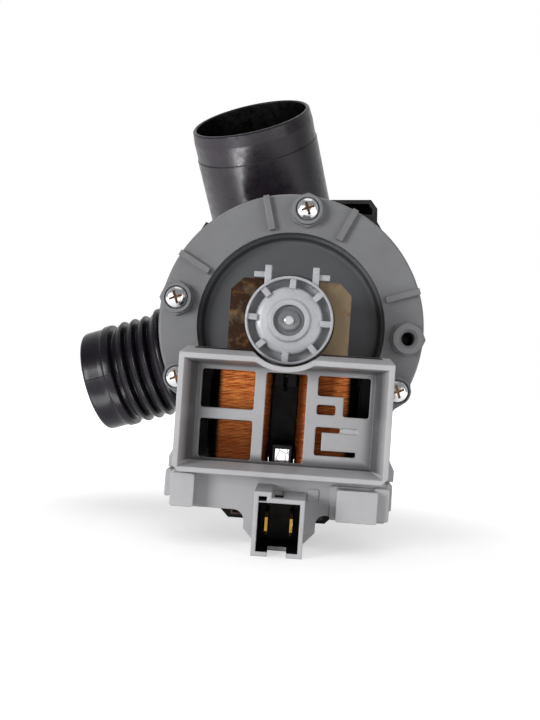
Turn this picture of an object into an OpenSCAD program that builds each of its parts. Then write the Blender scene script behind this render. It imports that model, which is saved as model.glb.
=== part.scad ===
// Drain pump of a washing machine, with a synchronous motor.
// Every sub-part is drawn in motor coordinates: x to the right, y up, z along the rotor axis
// towards the motor end, with z = 0 on the front face of the cover. in_place() then turns them
// so that the motor end points along -Y and the origin is on the axis of the fixing hole.

/* [Cover] */
// Thickness of the cover's flat ring
cover_t = 3; // [2.4:0.1:4]
// Diameter of the recessed dish
dish_d = 63.6; // [60:0.2:65]
// Depth of the dish below the ring
dish_depth = 6; // [5:0.5:7]
// Wall of the dish
dish_wall = 2.5; // [2:0.1:3]
// Radius of the rounded corner of the dish
cove_r = 3; // [1:0.5:4]
// Turn of the cover's bosses and ribs about the rotor axis
cover_clock = -5.7; // [-8:0.1:-2]
// Height of the radial stiffening ribs
rib_h = 2; // [1:0.1:2.4]
// Width of the radial stiffening ribs
rib_w = 2.1; // [1.5:0.1:3]

/* [Screws and bosses] */
// Outer diameter of a screw boss
boss_d = 10.2; // [9.6:0.1:11]
// Height of a screw boss above the cover
boss_h = 3.6; // [3:0.1:4.5]
// Outer diameter of the two lower ears
ear_d = 9.2; // [8.8:0.1:10]
// How far the lower ears lie outside the circle of the other screws
ear_out = 2.2; // [1.8:0.1:2.6]
// Angle of the lower ears below the horizontal
ear_angle = 28; // [25:1:32]
// Shank diameter of a cover screw
screw_d = 3.8; // [3.5:0.1:4]
// Head diameter of a cover screw
screw_head_d = 7.5; // [7:0.1:8]
// Head height of a cover screw
screw_head_h = 2.7; // [2:0.1:3.2]
// Length of a cover screw below its head
screw_len = 13; // [11:0.5:14]
// Diameter of the hole through the fixing boss
fix_hole_d = 4.6; // [4:0.1:5.2]

/* [Rotor canister] */
// Outer diameter of the rotor tube
canister_d = 26.9; // [26:0.1:27.4]
// Wall of the rotor tube
canister_wall = 1.2; // [1:0.1:1.5]
// How far the ribbed end stands before the core
nose_out = 6; // [5:0.5:8]
// Length of the ribs between the domed disc and the ring
hub_rib_len = 3.15; // [2.4:0.05:4]
// Number of ribs between the disc and the ring
hub_ribs = 8; // [4:1:12]
// Thickness of a rib of the ribbed end
hub_rib_w = 1.9; // [1.2:0.1:2.4]
// Turn of those ribs about the rotor axis
hub_clock = -2.5; // [-6:0.5:0]
// Width of the sealed ring between the canister and the dish
canister_seal_w = 3.85; // [3.4:0.05:4.4]

/* [Stator core] */
// Distance of the core's back from the cover face
core_z = 7; // [6.5:0.1:8]
// Thickness of the stack of laminations
core_t = 18; // [16:0.5:20]
// Width over both arms of the core
core_w = 37.4; // [37:0.1:39]
// Width of one arm of the core
arm_w = 10.1; // [9:0.1:10.3]
// Height of the arm tips above the rotor axis
core_top = 12.8; // [12:0.1:13.4]
// Depth of the core's foot below the rotor axis
core_bottom = 61.5; // [61:0.1:63]
// Height of the yoke that joins the arms
yoke_h = 12.6; // [11:0.1:13]
// Clipped corners of the laminations
core_chamfer = 3.8; // [2:0.1:5]
// Air gap between the core's bore and the canister
bore_gap = 0.5; // [0.3:0.1:0.8]

/* [Coils] */
// Wall of a bobbin
bobbin_wall = 0.9; // [0.7:0.1:1.2]
// Thickness of a bobbin flange
bobbin_flange_t = 1.2; // [1:0.1:1.6]
// Top of the bobbins below the rotor axis
bobbin_top = 14; // [13.9:0.1:14.6]
// Thickness of the winding on each side of a bobbin
winding_t = 3.4; // [2.6:0.1:3.5]
// Loops that show in the outer layer of a winding
loops = 15; // [8:1:15]
// Drawn diameter of the wire
wire_d = 1.3; // [0.8:0.1:1.4]

/* [Coil cover] */
// Width of the tray over its rim
tray_w = 62.6; // [61:0.2:64]
// Sideways offset of the tray from the rotor axis
tray_x = 0.4; // [0:0.1:0.6]
// Top edge of the tray below the rotor axis
tray_top = 11.8; // [11:0.1:12.4]
// Bottom edge of the tray below the rotor axis
tray_bottom = 44.6; // [44.4:0.1:45.2]
// Depth of the tray
tray_depth = 10.6; // [9:0.2:12]
// Thickness of the windowed sheet
sheet_t = 1.8; // [1.5:0.1:2.2]
// Thickness of the tray's rim
rim_t = 1.6; // [1.3:0.1:1.8]
// Width of the bars between the windows
bar_w = 3.3; // [2.6:0.1:3.6]
// Lower edge of the base plate below the rotor axis
plate_bottom = 57.9; // [57.4:0.1:58.4]
// Half width of the base plate
plate_half_w = 32.4; // [32:0.1:33.4]

/* [Connector] */
// Sideways offset of the socket from the rotor axis
socket_x = 1.1; // [0:0.1:1.4]
// Outer width of the socket
socket_w = 14.4; // [14:0.1:15.6]
// Wall of the socket
socket_wall = 1.3; // [1.1:0.1:1.6]
// Top of the socket below the rotor axis
socket_top = 51.3; // [51:0.1:51.6]
// Bottom of the socket below the rotor axis
socket_bottom = 67.7; // [67.4:0.1:70]
// How far the socket stands before the base plate
socket_out = 17.6; // [15:0.2:20]
// Width of a contact blade
blade_w = 6.3; // [6.3:0.1:6.4]
// Thickness of a contact blade
blade_t = 0.8; // [0.7:0.1:0.9]
// Distance between the two contact blades
blade_pitch = 7.2; // [7:0.1:7.4]

/* [Pump housing] */
// Depth of the pump chamber behind the cover
chamber_depth = 35.5; // [35.2:0.1:37]
// Wall of the round chamber
housing_wall = 3.4; // [3.2:0.1:3.6]
// Thickness of the back wall
back_wall = 2.5; // [2:0.1:3]
// Thickness of the housing's front rim
housing_rim_t = 4; // [3:0.1:5]

/* [Inlet] */
// Outer diameter of the inlet tube at its bend
inlet_d = 48.6; // [47:0.2:50]
// How much the tube's radius shrinks from the bend to the hose seat
inlet_draft = 0.5; // [0:0.1:1]
// Wall of the inlet tube
inlet_wall = 2.2; // [1.8:0.1:2.6]
// Radius of the inner side of the bend
bend_inner = 0.7; // [0.5:0.1:6]
// Turn of the inlet bend
inlet_bend = 120; // [110:1:125]
// Height of the tube's straight foot behind the chamber
inlet_foot = 3; // [2.5:0.5:5]
// Length of the straight part of the inlet tube
inlet_len = 54; // [45:0.2:60]
// Direction of the inlet tube about the rotor axis
inlet_clock = 106.3; // [102:0.1:108]
// Length of the hose seat at the mouth
hose_seat_len = 11.5; // [8:0.5:14]
// Sideways offset of the inlet tube from the rotor axis
inlet_offset = 2.4; // [0:0.1:2.8]

/* [Outlet] */
// Direction of the outlet about the rotor axis
outlet_clock = 198.6; // [197:0.2:200]
// Lean of the outlet away from the motor
outlet_tilt = 4; // [0:0.5:5]
// Outer diameter of the outlet spigot
spigot_d = 28.4; // [27:0.2:28.8]
// Wall of the outlet spigot
spigot_wall = 2; // [1.6:0.1:2.4]
// Distance of the bellows from the chamber's outer wall
bellows_gap = 6; // [5.6:0.1:7]
// Wall of the bellows
bellows_wall = 1.5; // [1.2:0.1:1.8]
// Height of the bellows' ribs above the grooves
bellows_rib_h = 2.9; // [2:0.1:3.4]
// Distance from one rib to the next
rib_pitch = 4.15; // [3.8:0.05:4.6]
// Number of ribs on the bellows
bellows_ribs = 3; // [2:1:8]
// How far the root collar stands out beyond the ribs
collar_step = 1.3; // [0.8:0.1:1.6]
// Length of the end cuff
cuff_len = 10.8; // [9:0.2:16]
// How far the cuff lies below the ribs
cuff_step = 0.6; // [0.3:0.1:1]
// Wall of the end cuff
cuff_wall = 2.9; // [2.2:0.1:3.2]

/* [Rotor and impeller] */
// Diameter of the rotor shaft
shaft_d = 4; // [3.6:0.1:4]
// Air gap between the magnet and the canister
magnet_air = 1.25; // [0.9:0.05:1.6]
// Length of the magnet
magnet_len = 18; // [15:0.5:18.4]
// Diameter of the impeller
impeller_d = 48; // [40:1:60]
// Height of the impeller's vanes
vane_h = 19; // [15:0.5:20]
// Number of vanes
vanes = 5; // [3:1:8]
// Thickness of a vane
vane_t = 2; // [1.4:0.1:3]
// Outer diameter of the impeller's hub
hub_d = 19.2; // [18.6:0.2:22]
// Angle that each clutch tooth takes up
tooth_angle = 56; // [40:2:70]

/* [Hidden] */
$fn = 72;
// Clearances: a sliding fit, a running fit on the shaft, and the space between bodies
fit = 0.1;
run = 0.05;
gap = 0.3;
eps = 0.01;

// Dish, chamber, seal, screws and edge, from the middle outwards
dish_r = dish_d / 2;
chamber_r = dish_r + dish_wall + gap;
body_r = chamber_r + housing_wall;
plug_r = chamber_r - gap;
seal_section_r = 0.85;
seal_land = 0.65;
seal_r = chamber_r + 1.6;
bolt_r = seal_r + seal_section_r + seal_land + screw_d / 2;
cover_r = bolt_r + boss_d / 2 + gap;
rim_r = cover_r - 1.5;
ear_r = bolt_r + ear_out;
top_a = 90 + cover_clock + 1;
left_a = 90 + cover_clock + 85.4;
fix_a = 90 + cover_clock - 87;
boss_places = [polar(bolt_r, top_a), polar(bolt_r, left_a)];
ear_x = ear_r * cos(ear_angle);
ear_y = ear_r * sin(ear_angle);
ear_places = [[-ear_x, -ear_y], [ear_x, -ear_y]];
fix_place = polar(bolt_r, fix_a);
head_seat = boss_h - 0.8;
dome_h = screw_head_h - 0.3;
screw_hole_d = screw_d + 2 * fit;

// Cover, from its front face backwards
dish_floor = -dish_depth;
dish_back = dish_floor - dish_wall;
cover_back = -cover_t;

// Canister and rotor
can_r = canister_d / 2;
can_in_r = can_r - canister_wall;
core_front = core_z + core_t;
can_end = core_front + nose_out;
disc_z = can_end - 1.2;
end_wall = 1.5;
pocket_floor = can_end - 5;
chamber_end = pocket_floor - 1.3;
boot_d = 9;
boot_wall = 1.1;
bearing_len = 3.4;
hub_disc_r = can_r - hub_rib_len;
dish_hole_r = can_r + canister_seal_w;
can_flange_r = dish_hole_r + 2.4;
can_flange_t = 2.6;
can_back = dish_back - can_flange_t;
shaft_r = shaft_d / 2;
bush_hole_r = shaft_r + run;
rear_bush_z = -6;
rear_bush_len = 5;
holder_r = can_in_r - run;
holder_back = can_back;
washer_t = 0.8;
magnet_z = rear_bush_z + rear_bush_len + washer_t + 2 * run + 4.7;
magnet_r = can_in_r - magnet_air;
carrier_r = 4.6;

// Core and coils
arm_out = core_w / 2;
arm_in = arm_out - arm_w;
arm_mid = arm_out - arm_w / 2;
core_bore_r = can_r + bore_gap;
core_mid = core_z + core_t / 2;
yoke_top = core_bottom - yoke_h;
bobbin_bottom = yoke_top - fit;
tube_half_x = arm_w / 2 + fit + bobbin_wall;
tube_half_z = core_t / 2 + fit + bobbin_wall;
coil_half_x = tube_half_x + winding_t;
coil_half_z = tube_half_z + winding_t;
flange_lip = 0.5;
bobbin_half_x = coil_half_x + flange_lip;
bobbin_half_z = coil_half_z + flange_lip;
coil_top = bobbin_top + bobbin_flange_t;
coil_len = bobbin_bottom - bobbin_flange_t - coil_top;
wire_r = wire_d / 2;
loop_pitch = (coil_len - 2 * wire_d) / loops;
layer_gap = 0.12;

// Coil cover
sheet_back = core_mid + bobbin_half_z + gap;
sheet_front = sheet_back + sheet_t;
rim_z = sheet_front + tray_depth;
tray_half_w = tray_w / 2;
dip_r = can_r + 0.85;
top_wall_back = core_front + gap;
top_slope = 0.136;
skirt_back = rib_h + 1.2;
skirt_half_w = tray_half_w - 1;
skirt_t = 1.8;
floor_half_w = tray_half_w - rim_t - 2.9;
floor_top = tray_top + rim_t + 1.4;
floor_bottom = tray_bottom - 1.3;
window_top = floor_top + 1.3;
window_bottom = floor_bottom - 0.3;
window_out = floor_half_w - 1.3;
socket_half_w = socket_w / 2;
socket_front = sheet_front + socket_out;
key_h = 1.7;
key_w = 4.9;
blade_mid_y = -(socket_top + socket_bottom) / 2 - gap;
blade_front = socket_front - 7;
block_back = core_front + 0.3;
block_front = sheet_back + 0.3;
block_half_w = socket_half_w - socket_wall - fit;
block_top = socket_top + socket_wall + fit;
block_bottom = socket_bottom - socket_wall - fit;

// Housing, inlet and outlet
chamber_back = cover_back - chamber_depth;
housing_back = chamber_back - back_wall;
corner = 4;
bracket_place = polar(body_r, 62);
screw_boss_depth = 11;
fix_boss_depth = 15;
ear_t = 2;
inlet_r = inlet_d / 2;
inlet_bend_r = inlet_r + bend_inner;
inlet_end_r = inlet_r - inlet_draft;
inlet_bore_r = inlet_end_r - inlet_wall;
seat_step = 0.35;
seat_r = inlet_end_r - seat_step;
lip_r = seat_r - 0.45;
lip_len = 4.5;
seat_from = inlet_len - hose_seat_len;
eye_r = inlet_bore_r - inlet_offset - 0.2;
foot_depth = 1;
bend_start = housing_back - inlet_foot;
spigot_r = spigot_d / 2;
spigot_bore_r = spigot_r - spigot_wall;
outlet_z = cover_t + chamber_depth - spigot_r + 0.2;
bellows_from = body_r + bellows_gap;
spigot_end = bellows_from + 6;
bellows_in_r = spigot_r + run;
groove_r = bellows_in_r + bellows_wall + 0.25;
rib_r = groove_r + bellows_rib_h;
collar_r = rib_r + collar_step;
cuff_r = rib_r - cuff_step;
first_rib = bellows_from + 6.75;
last_rib = first_rib + (bellows_ribs - 1) * rib_pitch;
band_from = last_rib + rib_pitch + 0.2;
cuff_end = band_from + cuff_len;

// Impeller, behind the canister
disc_front = can_back - 1.2;
disc_t = 1.6;
hub_r = hub_d / 2;
hub_wall = 1.9;
cavity_r = hub_r - hub_wall;
cavity_front = disc_front - disc_t;
dog_len = 8;
dog_front = cavity_front - 2 * run - 0.4;
cap_rim = 1.2;
cavity_back = dog_front - dog_len - cap_rim - gap;
dog_r = cavity_r - gap;
sleeve_r = shaft_r + 1.9;
cap_t = 2;
cap_back = cavity_back - cap_t;
ring_z = cap_back - 0.4;
shaft_back = ring_z - 2.6;
boot_back = chamber_end - 1.2;
shaft_front = boot_back + bearing_len - 0.2;

function polar(r, a) = [r * cos(a), r * sin(a)];
function arc(cx, cy, r, a0, a1, n = 6) =
    [for (i = [0:n]) [cx + r * cos(a0 + (a1 - a0) * i / n), cy + r * sin(a0 + (a1 - a0) * i / n)]];

module in_place() {
    translate([-fix_place.x, 0, -fix_place.y]) rotate([90, 0, 0]) children();
}
module slab(z0, z1) {
    translate([0, 0, z0]) linear_extrude(z1 - z0) children();
}
module disc(r, z0, z1) {
    translate([0, 0, z0]) cylinder(r = r, h = z1 - z0);
}
module ring(r_out, r_in, z0, z1) {
    slab(z0, z1) difference() {
        circle(r_out);
        circle(r_in);
    }
}
module at(p) {
    translate([p.x, p.y, 0]) children();
}
// Rectangle from corner a to corner b with round corners, made of squares and circles
module rounded(a, b, r) {
    translate([a.x + r, a.y]) square([b.x - a.x - 2 * r, b.y - a.y]);
    translate([a.x, a.y + r]) square([b.x - a.x, b.y - a.y - 2 * r]);
    for (x = [a.x + r, b.x - r], y = [a.y + r, b.y - r])
        translate([x, y]) circle(r);
}
// Profile in x and z, drawn out along y from y0 down to y1
module along_y(y0, y1) {
    translate([0, y0, 0]) rotate([90, 0, 0]) linear_extrude(y0 - y1) children();
}
// Profile in y and z, drawn out along x from x0 to x1
module along_x(x0, x1) {
    translate([x0, 0, 0]) rotate([90, 0, 90]) linear_extrude(x1 - x0) children();
}
// Piece of a ring between two angles
module sector(r_out, r_in, a0, a1) {
    polygon(concat(arc(0, 0, r_out, a0, a1, 8), arc(0, 0, r_in, a1, a0, 8)));
}

module in_inlet_plane() {
    rotate([0, 0, inlet_clock]) translate([0, -inlet_offset, 0]) children();
}
module at_inlet() {
    translate([inlet_bend_r, 0, bend_start]) rotate([0, 180 - inlet_bend, 0])
        translate([inlet_bend_r, 0, 0]) children();
}
module at_outlet() {
    translate([0, 0, -outlet_z]) rotate([0, 0, outlet_clock]) translate([body_r, 0, 0])
        rotate([0, 90 + outlet_tilt, 0]) translate([0, 0, -body_r]) children();
}
// Pump housing: round chamber, outlet spigot and side bracket
module housing_body() {
    rotate_extrude() polygon([
        [0, housing_back], [body_r - corner, housing_back], [body_r, housing_back + corner],
        [body_r, cover_back - housing_rim_t], [rim_r, cover_back - housing_rim_t],
        [rim_r, cover_back], [0, cover_back]]);
    intersection() {
        for (p = concat(boss_places, ear_places))
            at(p) disc(boss_d / 2 - 0.4, cover_back - screw_boss_depth, cover_back);
        disc(rim_r, cover_back - screw_boss_depth, cover_back);
    }
    at(fix_place) disc(boss_d / 2 - 0.4, cover_back - fix_boss_depth, cover_back);
    for (p = ear_places) at(p) disc(ear_d / 2, cover_back - ear_t, cover_back);
    at_outlet() disc(spigot_r, body_r - 12, spigot_end);
    side_bracket();
    side_web();
}
// Hooked bracket open towards the motor, that hangs in the machine's frame
module side_bracket() {
    at(bracket_place) slab(cover_back - 26, cover_back - 5) polygon([
        [-12.8, -3.6], [-12.8, 11.4], [7.1, 12.6], [9.5, 9.6], [9.7, 5.1], [13.2, -0.2],
        [15.2, -13.6], [2.2, -13.6]]);
}
module bracket_pocket() {
    at(bracket_place) slab(cover_back - 23, cover_back) polygon([
        [-9.8, 7.4], [-9.8, 10.1], [6.4, 11.2], [7.9, 9.3], [7.9, 7.4]]);
    at(bracket_place) slab(cover_back - 23, cover_back - 9)
        polygon([[-5.8, 4.4], [-9.8, 7.6], [7.9, 7.6], [7.9, 4.4]]);
}
module side_web() {
    at(polar(body_r, 135)) slab(cover_back - 16, cover_back - 8)
        polygon([[8.9, 3.1], [-5.5, 8.7], [-7.3, 5.5], [-3.1, -6.9]]);
}
module pump_housing() in_place() color("#232326") {
    difference() {
        housing_body();
        rotate_extrude() polygon([
            [0, chamber_back], [chamber_r - corner, chamber_back],
            [chamber_r, chamber_back + corner], [chamber_r, cover_back + 1],
            [0, cover_back + 1]]);
        ring(seal_r + seal_section_r + run, seal_r - seal_section_r - run,
            cover_back - 2 * seal_section_r - 2 * run, cover_back + 1);
        at_outlet() disc(spigot_bore_r, 20, spigot_end + 1);
        in_inlet_plane() {
            disc(inlet_r + run, bend_start, housing_back + foot_depth + run);
            at_inlet() disc(inlet_r + gap, -0.5, inlet_len);
        }
        disc(eye_r, bend_start - eps, chamber_back + 1);
        for (p = concat(boss_places, ear_places))
            at(p) disc(screw_d / 2 + run, cover_back - screw_boss_depth + 1.5, cover_back + 1);
        at(fix_place) disc(fix_hole_d / 2, cover_back - fix_boss_depth + 2, cover_back + 1);
        bracket_pocket();
    }
}
// Bent inlet tube, welded into a shallow seat in the back of the pump housing
module inlet_elbow() in_place() color("#232326") in_inlet_plane() {
    ring(inlet_r - run, inlet_bore_r, bend_start - 0.5, housing_back + foot_depth);
    translate([inlet_bend_r, 0, bend_start]) rotate([90, 0, 0]) rotate([0, 0, 180])
        rotate_extrude(angle = inlet_bend) translate([inlet_bend_r, 0]) difference() {
            circle(inlet_r);
            circle(inlet_bore_r + run);
        }
    at_inlet() rotate_extrude() polygon([
        [inlet_bore_r, -0.5], [inlet_r - run, -0.5], [inlet_end_r, seat_from],
        [seat_r, seat_from + seat_step], [seat_r, inlet_len - lip_len],
        [lip_r, inlet_len - 0.5], [lip_r - 0.5, inlet_len], [inlet_bore_r + 0.3, inlet_len],
        [inlet_bore_r, inlet_len - 0.3]]);
}

// Rubber bellows that fits over the outlet spigot and ends in a smooth cuff
module outlet_bellows() in_place() color("#1b1b1d") at_outlet() rotate_extrude() polygon(concat(
    [[collar_r - 0.8, bellows_from], [collar_r, bellows_from + 0.8],
        [collar_r, bellows_from + 2], [collar_r - 0.8, bellows_from + 2.4],
        [rib_r - 1.2, bellows_from + 4.9], [groove_r, bellows_from + 5.1]],
    [for (i = [0:bellows_ribs - 1]) for (p = rib_profile(first_rib + i * rib_pitch)) p],
    [[groove_r, band_from - 0.3], [rib_r - 0.3, band_from], [rib_r, band_from + 0.3],
        [rib_r, band_from + 2.8], [cuff_r, band_from + 3.2], [cuff_r, cuff_end - 1],
        [cuff_r - 0.3, cuff_end - 0.3], [cuff_r - 1, cuff_end]],
    [[cuff_r - cuff_wall + 0.4, cuff_end], [cuff_r - cuff_wall, cuff_end - 0.4],
        [cuff_r - cuff_wall, band_from + 1.2]],
    [for (i = [bellows_ribs - 1:-1:0]) for (p = fold_profile(first_rib + i * rib_pitch)) p],
    [[bellows_in_r, spigot_end], [bellows_in_r, bellows_from]]));
// A rib leans: a steep side towards the pump, a narrow crest and a long slope behind it
function rib_profile(x) = [
    [groove_r, x - 0.95], [rib_r - 0.4, x - 0.6], [rib_r, x - 0.3], [rib_r, x + 0.3],
    [rib_r - 0.3, x + 0.5], [rib_r - 0.35, x + 0.75], [rib_r - 1.2, x + 2.2],
    [groove_r, x + 2.4]];
function fold_profile(x) =
    x - rib_pitch / 2 < spigot_end ? [] : [
    [groove_r - bellows_wall, x + 2.3], [rib_r - bellows_wall - 0.9, x + 1],
    [rib_r - bellows_wall - 0.9, x - 0.1], [groove_r - bellows_wall, x - 1]];

module cover_seal() in_place() color("#111112")
    rotate_extrude() translate([seal_r, cover_back - seal_section_r - run]) circle(seal_section_r);

// Cover: flat ring with ribs and bosses round a recessed dish
module cover_boss(p) {
    at(p) {
        disc(boss_d / 2, 0, boss_h);
        cylinder(r = boss_d / 2 + 0.9, h = 1.3, $fn = 8);
    }
}
module cover_ear(side) {
    mirror([side < 0 ? 1 : 0, 0, 0]) slab(cover_back, boss_h - 1.2) polygon([
        [ear_x - 3.6, -ear_y + 6.8], [ear_x + 4.3, -ear_y + 3.6], [ear_x + ear_d / 2, -ear_y],
        [ear_x + 3.1, -ear_y - 3.6], [ear_x - 0.4, -ear_y - 6], [ear_x - 5, -ear_y - 2]]);
    at([side * ear_x, -ear_y]) disc(ear_d / 2, cover_back, boss_h);
}
module cover_flange() in_place() color("#7d7d7f") difference() {
    union() {
        rotate_extrude() polygon(concat(
            [[dish_hole_r, dish_back], [plug_r, dish_back], [plug_r, cover_back],
                [cover_r, cover_back], [cover_r, -0.6], [cover_r - 0.6, 0], [dish_r, 0]],
            [[dish_r, dish_floor + cove_r]],
            arc(dish_r - cove_r, dish_floor + cove_r, cove_r, 0, -90),
            [[dish_hole_r + 0.8, dish_floor], [dish_hole_r, dish_floor - 0.8]]));
        for (a = [-65.5, -20, 20, 65.5])
            rotate([0, 0, 90 + cover_clock + a]) translate([dish_r + 1.4, -rib_w / 2, -eps])
                cube([cover_r - dish_r - 1.4, rib_w, rib_h]);
        for (p = concat(boss_places, [fix_place])) cover_boss(p);
        cover_ear(-1);
        cover_ear(1);
    }
    for (p = concat(boss_places, ear_places)) at(p) {
        disc(screw_hole_d / 2, cover_back - 1, boss_h);
        disc(screw_head_d / 2 + gap, head_seat, boss_h + 1);
    }
    at(fix_place) {
        disc(fix_hole_d / 2, cover_back - 1, boss_h + 1);
        translate([0, 0, boss_h - 1]) cylinder(r1 = fix_hole_d / 2, r2 = fix_hole_d / 2 + 1.1, h = 1.1);
    }
}

module cover_screws() in_place() color("silver")
    for (p = concat(boss_places, ear_places)) at(p) {
        difference() {
            rotate_extrude() polygon(concat(
                [[0, head_seat], [screw_head_d / 2 - 0.2, head_seat]],
                [for (a = [0:12:72]) [screw_head_d / 2 * cos(a), head_seat + 0.3 + dome_h * sin(a)]],
                [[0, head_seat + 0.3 + dome_h]]));
            for (a = [20, 110]) rotate([0, 0, a])
                translate([-2.3, -0.42, head_seat + screw_head_h - 1.5]) cube([4.6, 0.84, 2]);
        }
        disc(screw_d / 2, head_seat - screw_len, head_seat);
    }

// Rotor canister: tube closed by a domed disc inside a ribbed ring
module rotor_canister() in_place() color("#b4b4b6") difference() {
    union() {
        rotate_extrude() polygon([
            [can_in_r, can_back], [can_flange_r, can_back], [can_flange_r, dish_back],
            [can_r, dish_back], [can_r, can_end - 0.3], [can_r - 0.3, can_end],
            [can_r - 0.8, can_end], [can_r - 0.8, pocket_floor], [hub_disc_r, pocket_floor],
            [hub_disc_r, disc_z - 0.9], [hub_disc_r - 0.5, disc_z - 0.35],
            [hub_disc_r - 1.6, disc_z], [6.8, disc_z + 0.4], [6.2, can_end],
            [4.9, can_end], [4.7, can_end - 0.2], [4.7, disc_z - 0.9], [0, disc_z - 0.9],
            [0, disc_z - 0.9 - end_wall + 0.2], [boot_d / 2 + fit, disc_z - 2.2],
            [boot_d / 2 + fit, chamber_end], [boot_d / 2 + 1.2, chamber_end],
            [boot_d / 2 + 1.2, disc_z - 2.4], [hub_disc_r - 1.4, disc_z - 2.4],
            [hub_disc_r - 1.4, chamber_end], [can_in_r, chamber_end]]);
        for (i = [0:hub_ribs - 1]) rotate([0, 0, hub_clock + i * 360 / hub_ribs])
            translate([hub_disc_r - 0.6, -hub_rib_w / 2, pocket_floor - 0.5])
                cube([hub_rib_len + 0.2, hub_rib_w, can_end - pocket_floor]);
        for (a = [0, 42, 138, 180]) rotate([0, 0, a]) translate([can_r - 0.4, -2, dish_floor])
            cube([2.6, 4, core_z - dish_floor]);
        for (s = [-1, 1]) core_clip(s);
    }
    ring(dish_hole_r - 0.9 + run, can_r + 0.9 - run, dish_back - 1.4, dish_back + 1);
}
// Finger that lies along the tip of one arm and hooks over it
module core_clip(s) {
    translate([s < 0 ? -arm_in + gap : arm_in - gap - 2, core_top - 2.2, core_front - 4])
        cube([2, 6, nose_out + 2.4]);
    translate([s < 0 ? -arm_in - 3 : arm_in - 2, core_top + fit, core_front - 4])
        cube([5, 1.7, nose_out + 1.4]);
}
module canister_seal() in_place() color("#111112")
    ring(dish_hole_r - 0.9, can_r + 0.9, dish_back - 1.35, dish_floor - 0.9);

module end_plug() in_place() color("#8e9093") {
    plug_z = disc_z - 0.9 + run;
    rotate_extrude() polygon(concat(
        [[0, plug_z], [4.6, plug_z], [4.6, plug_z + 0.5], [3.5, plug_z + 0.5]],
        [[3.3, plug_z + 1], [2.7, plug_z + 1.4], [1.5, plug_z + 1.5], [1.45, plug_z + 1.9],
            [1, plug_z + 2.1], [0, plug_z + 2.15]]));
}

module bush(z, len, r) {
    ring(r, bush_hole_r, z, z + len);
}
module front_bearing() in_place() color("#6b5a3a")
    bush(boot_back + fit / 2, bearing_len, boot_d / 2 - boot_wall - run);
module bearing_boot() in_place() color("#1a1a1b") difference() {
    disc(boot_d / 2, boot_back, disc_z - 2.2 - fit);
    disc(boot_d / 2 - boot_wall, boot_back - 1, boot_back + bearing_len + fit);
}
module rear_bearing() in_place() color("#6b5a3a") bush(rear_bush_z, rear_bush_len, 4.5);
module bearing_holder() in_place() color("#d8d8d2") difference() {
    rotate_extrude() polygon([
        [4.55, holder_back], [holder_r, holder_back], [holder_r, holder_back + 3],
        [6.6, holder_back + 3], [6.6, rear_bush_z + rear_bush_len],
        [4.55, rear_bush_z + rear_bush_len]]);
    for (a = [0:60:300]) rotate([0, 0, a]) translate([9.2, 0, 0])
        disc(1.1, holder_back + 1.4, holder_back + 4);
}
module shaft_seal() in_place() color("#111112") rotate_extrude() polygon([
    [bush_hole_r + 1, holder_back + 0.4], [4.5, holder_back + 0.4], [4.5, rear_bush_z - fit],
    [bush_hole_r + 0.9, rear_bush_z - fit], [bush_hole_r, rear_bush_z - 0.9],
    [bush_hole_r, rear_bush_z - 1.7], [bush_hole_r + 1.2, rear_bush_z - 2.2]]);

// U-shaped stack of laminations whose arm tips clasp the canister
module stator_core() in_place() color("#7a6b55") slab(core_z, core_front) difference() {
    polygon([
        [-arm_out, -core_bottom + core_chamfer], [-arm_out + core_chamfer, -core_bottom],
        [arm_out - core_chamfer, -core_bottom], [arm_out, -core_bottom + core_chamfer],
        [arm_out, core_top - core_chamfer], [arm_out - core_chamfer, core_top],
        [arm_in, core_top], [arm_in, -yoke_top], [-arm_in, -yoke_top], [-arm_in, core_top],
        [-arm_out + core_chamfer, core_top], [-arm_out, core_top - core_chamfer]]);
    circle(core_bore_r);
    for (x = [-arm_mid, arm_mid]) translate([x, -(core_bottom + yoke_top) / 2]) circle(1.6);
}

// Bobbin: square tube on one arm with a flange at each end
module bobbin() {
    difference() {
        union() {
            along_y(-bobbin_top, -bobbin_bottom) frame_2d(tube_half_x, tube_half_z, 0.6);
            for (y = [-bobbin_top, -bobbin_bottom + bobbin_flange_t])
                along_y(y, y - bobbin_flange_t) frame_2d(bobbin_half_x, bobbin_half_z, 1.5);
        }
        along_y(-bobbin_top + 1, -bobbin_bottom - 1)
            translate([arm_mid - arm_w / 2 - fit, core_z - fit])
                square([arm_w + 2 * fit, core_t + 2 * fit]);
        disc(can_r + gap, 0, core_front + 10);
    }
}
module frame_2d(half_x, half_z, r) {
    rounded([arm_mid - half_x, core_mid - half_z], [arm_mid + half_x, core_mid + half_z], r);
}
module bobbin_right() in_place() color("#17171a") bobbin();
module bobbin_left() in_place() color("#17171a") mirror([1, 0, 0]) bobbin();

// One turn of wire round the bobbin: four round corners and the middles of four sides
wire_half_x = coil_half_x - wire_r;
wire_half_z = coil_half_z - wire_r;
wire_corner = winding_t + 0.6 - wire_r;
steps = 24;
function turn_point(k) =
    let (side = floor(k / 6), j = k % 6,
        cx = [1, -1, -1, 1][side] * (wire_half_x - wire_corner),
        cz = [1, 1, -1, -1][side] * (wire_half_z - wire_corner),
        a = 90 * side + 22.5 * j)
    j < 5 ? [cx + wire_corner * cos(a), cz + wire_corner * sin(a)]
        : [[0, wire_half_z], [-wire_half_x, 0], [0, -wire_half_z], [wire_half_x, 0]][side];
wire_path = [for (i = [0:loops * steps])
    let (p = turn_point(i % steps))
    [p.x, -coil_top - wire_d - loop_pitch * i / steps, p.y]];
function unit(v) = v / norm(v);
function tangent(i) = unit(wire_path[min(i + 1, len(wire_path) - 1)] - wire_path[max(i - 1, 0)]);
function wire_ring(p, t) =
    let (n = unit(cross([0, 1, 0], t)), b = cross(t, n))
    [for (a = [0:60:300]) p + wire_r * (cos(a) * n + sin(a) * b)];
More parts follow.
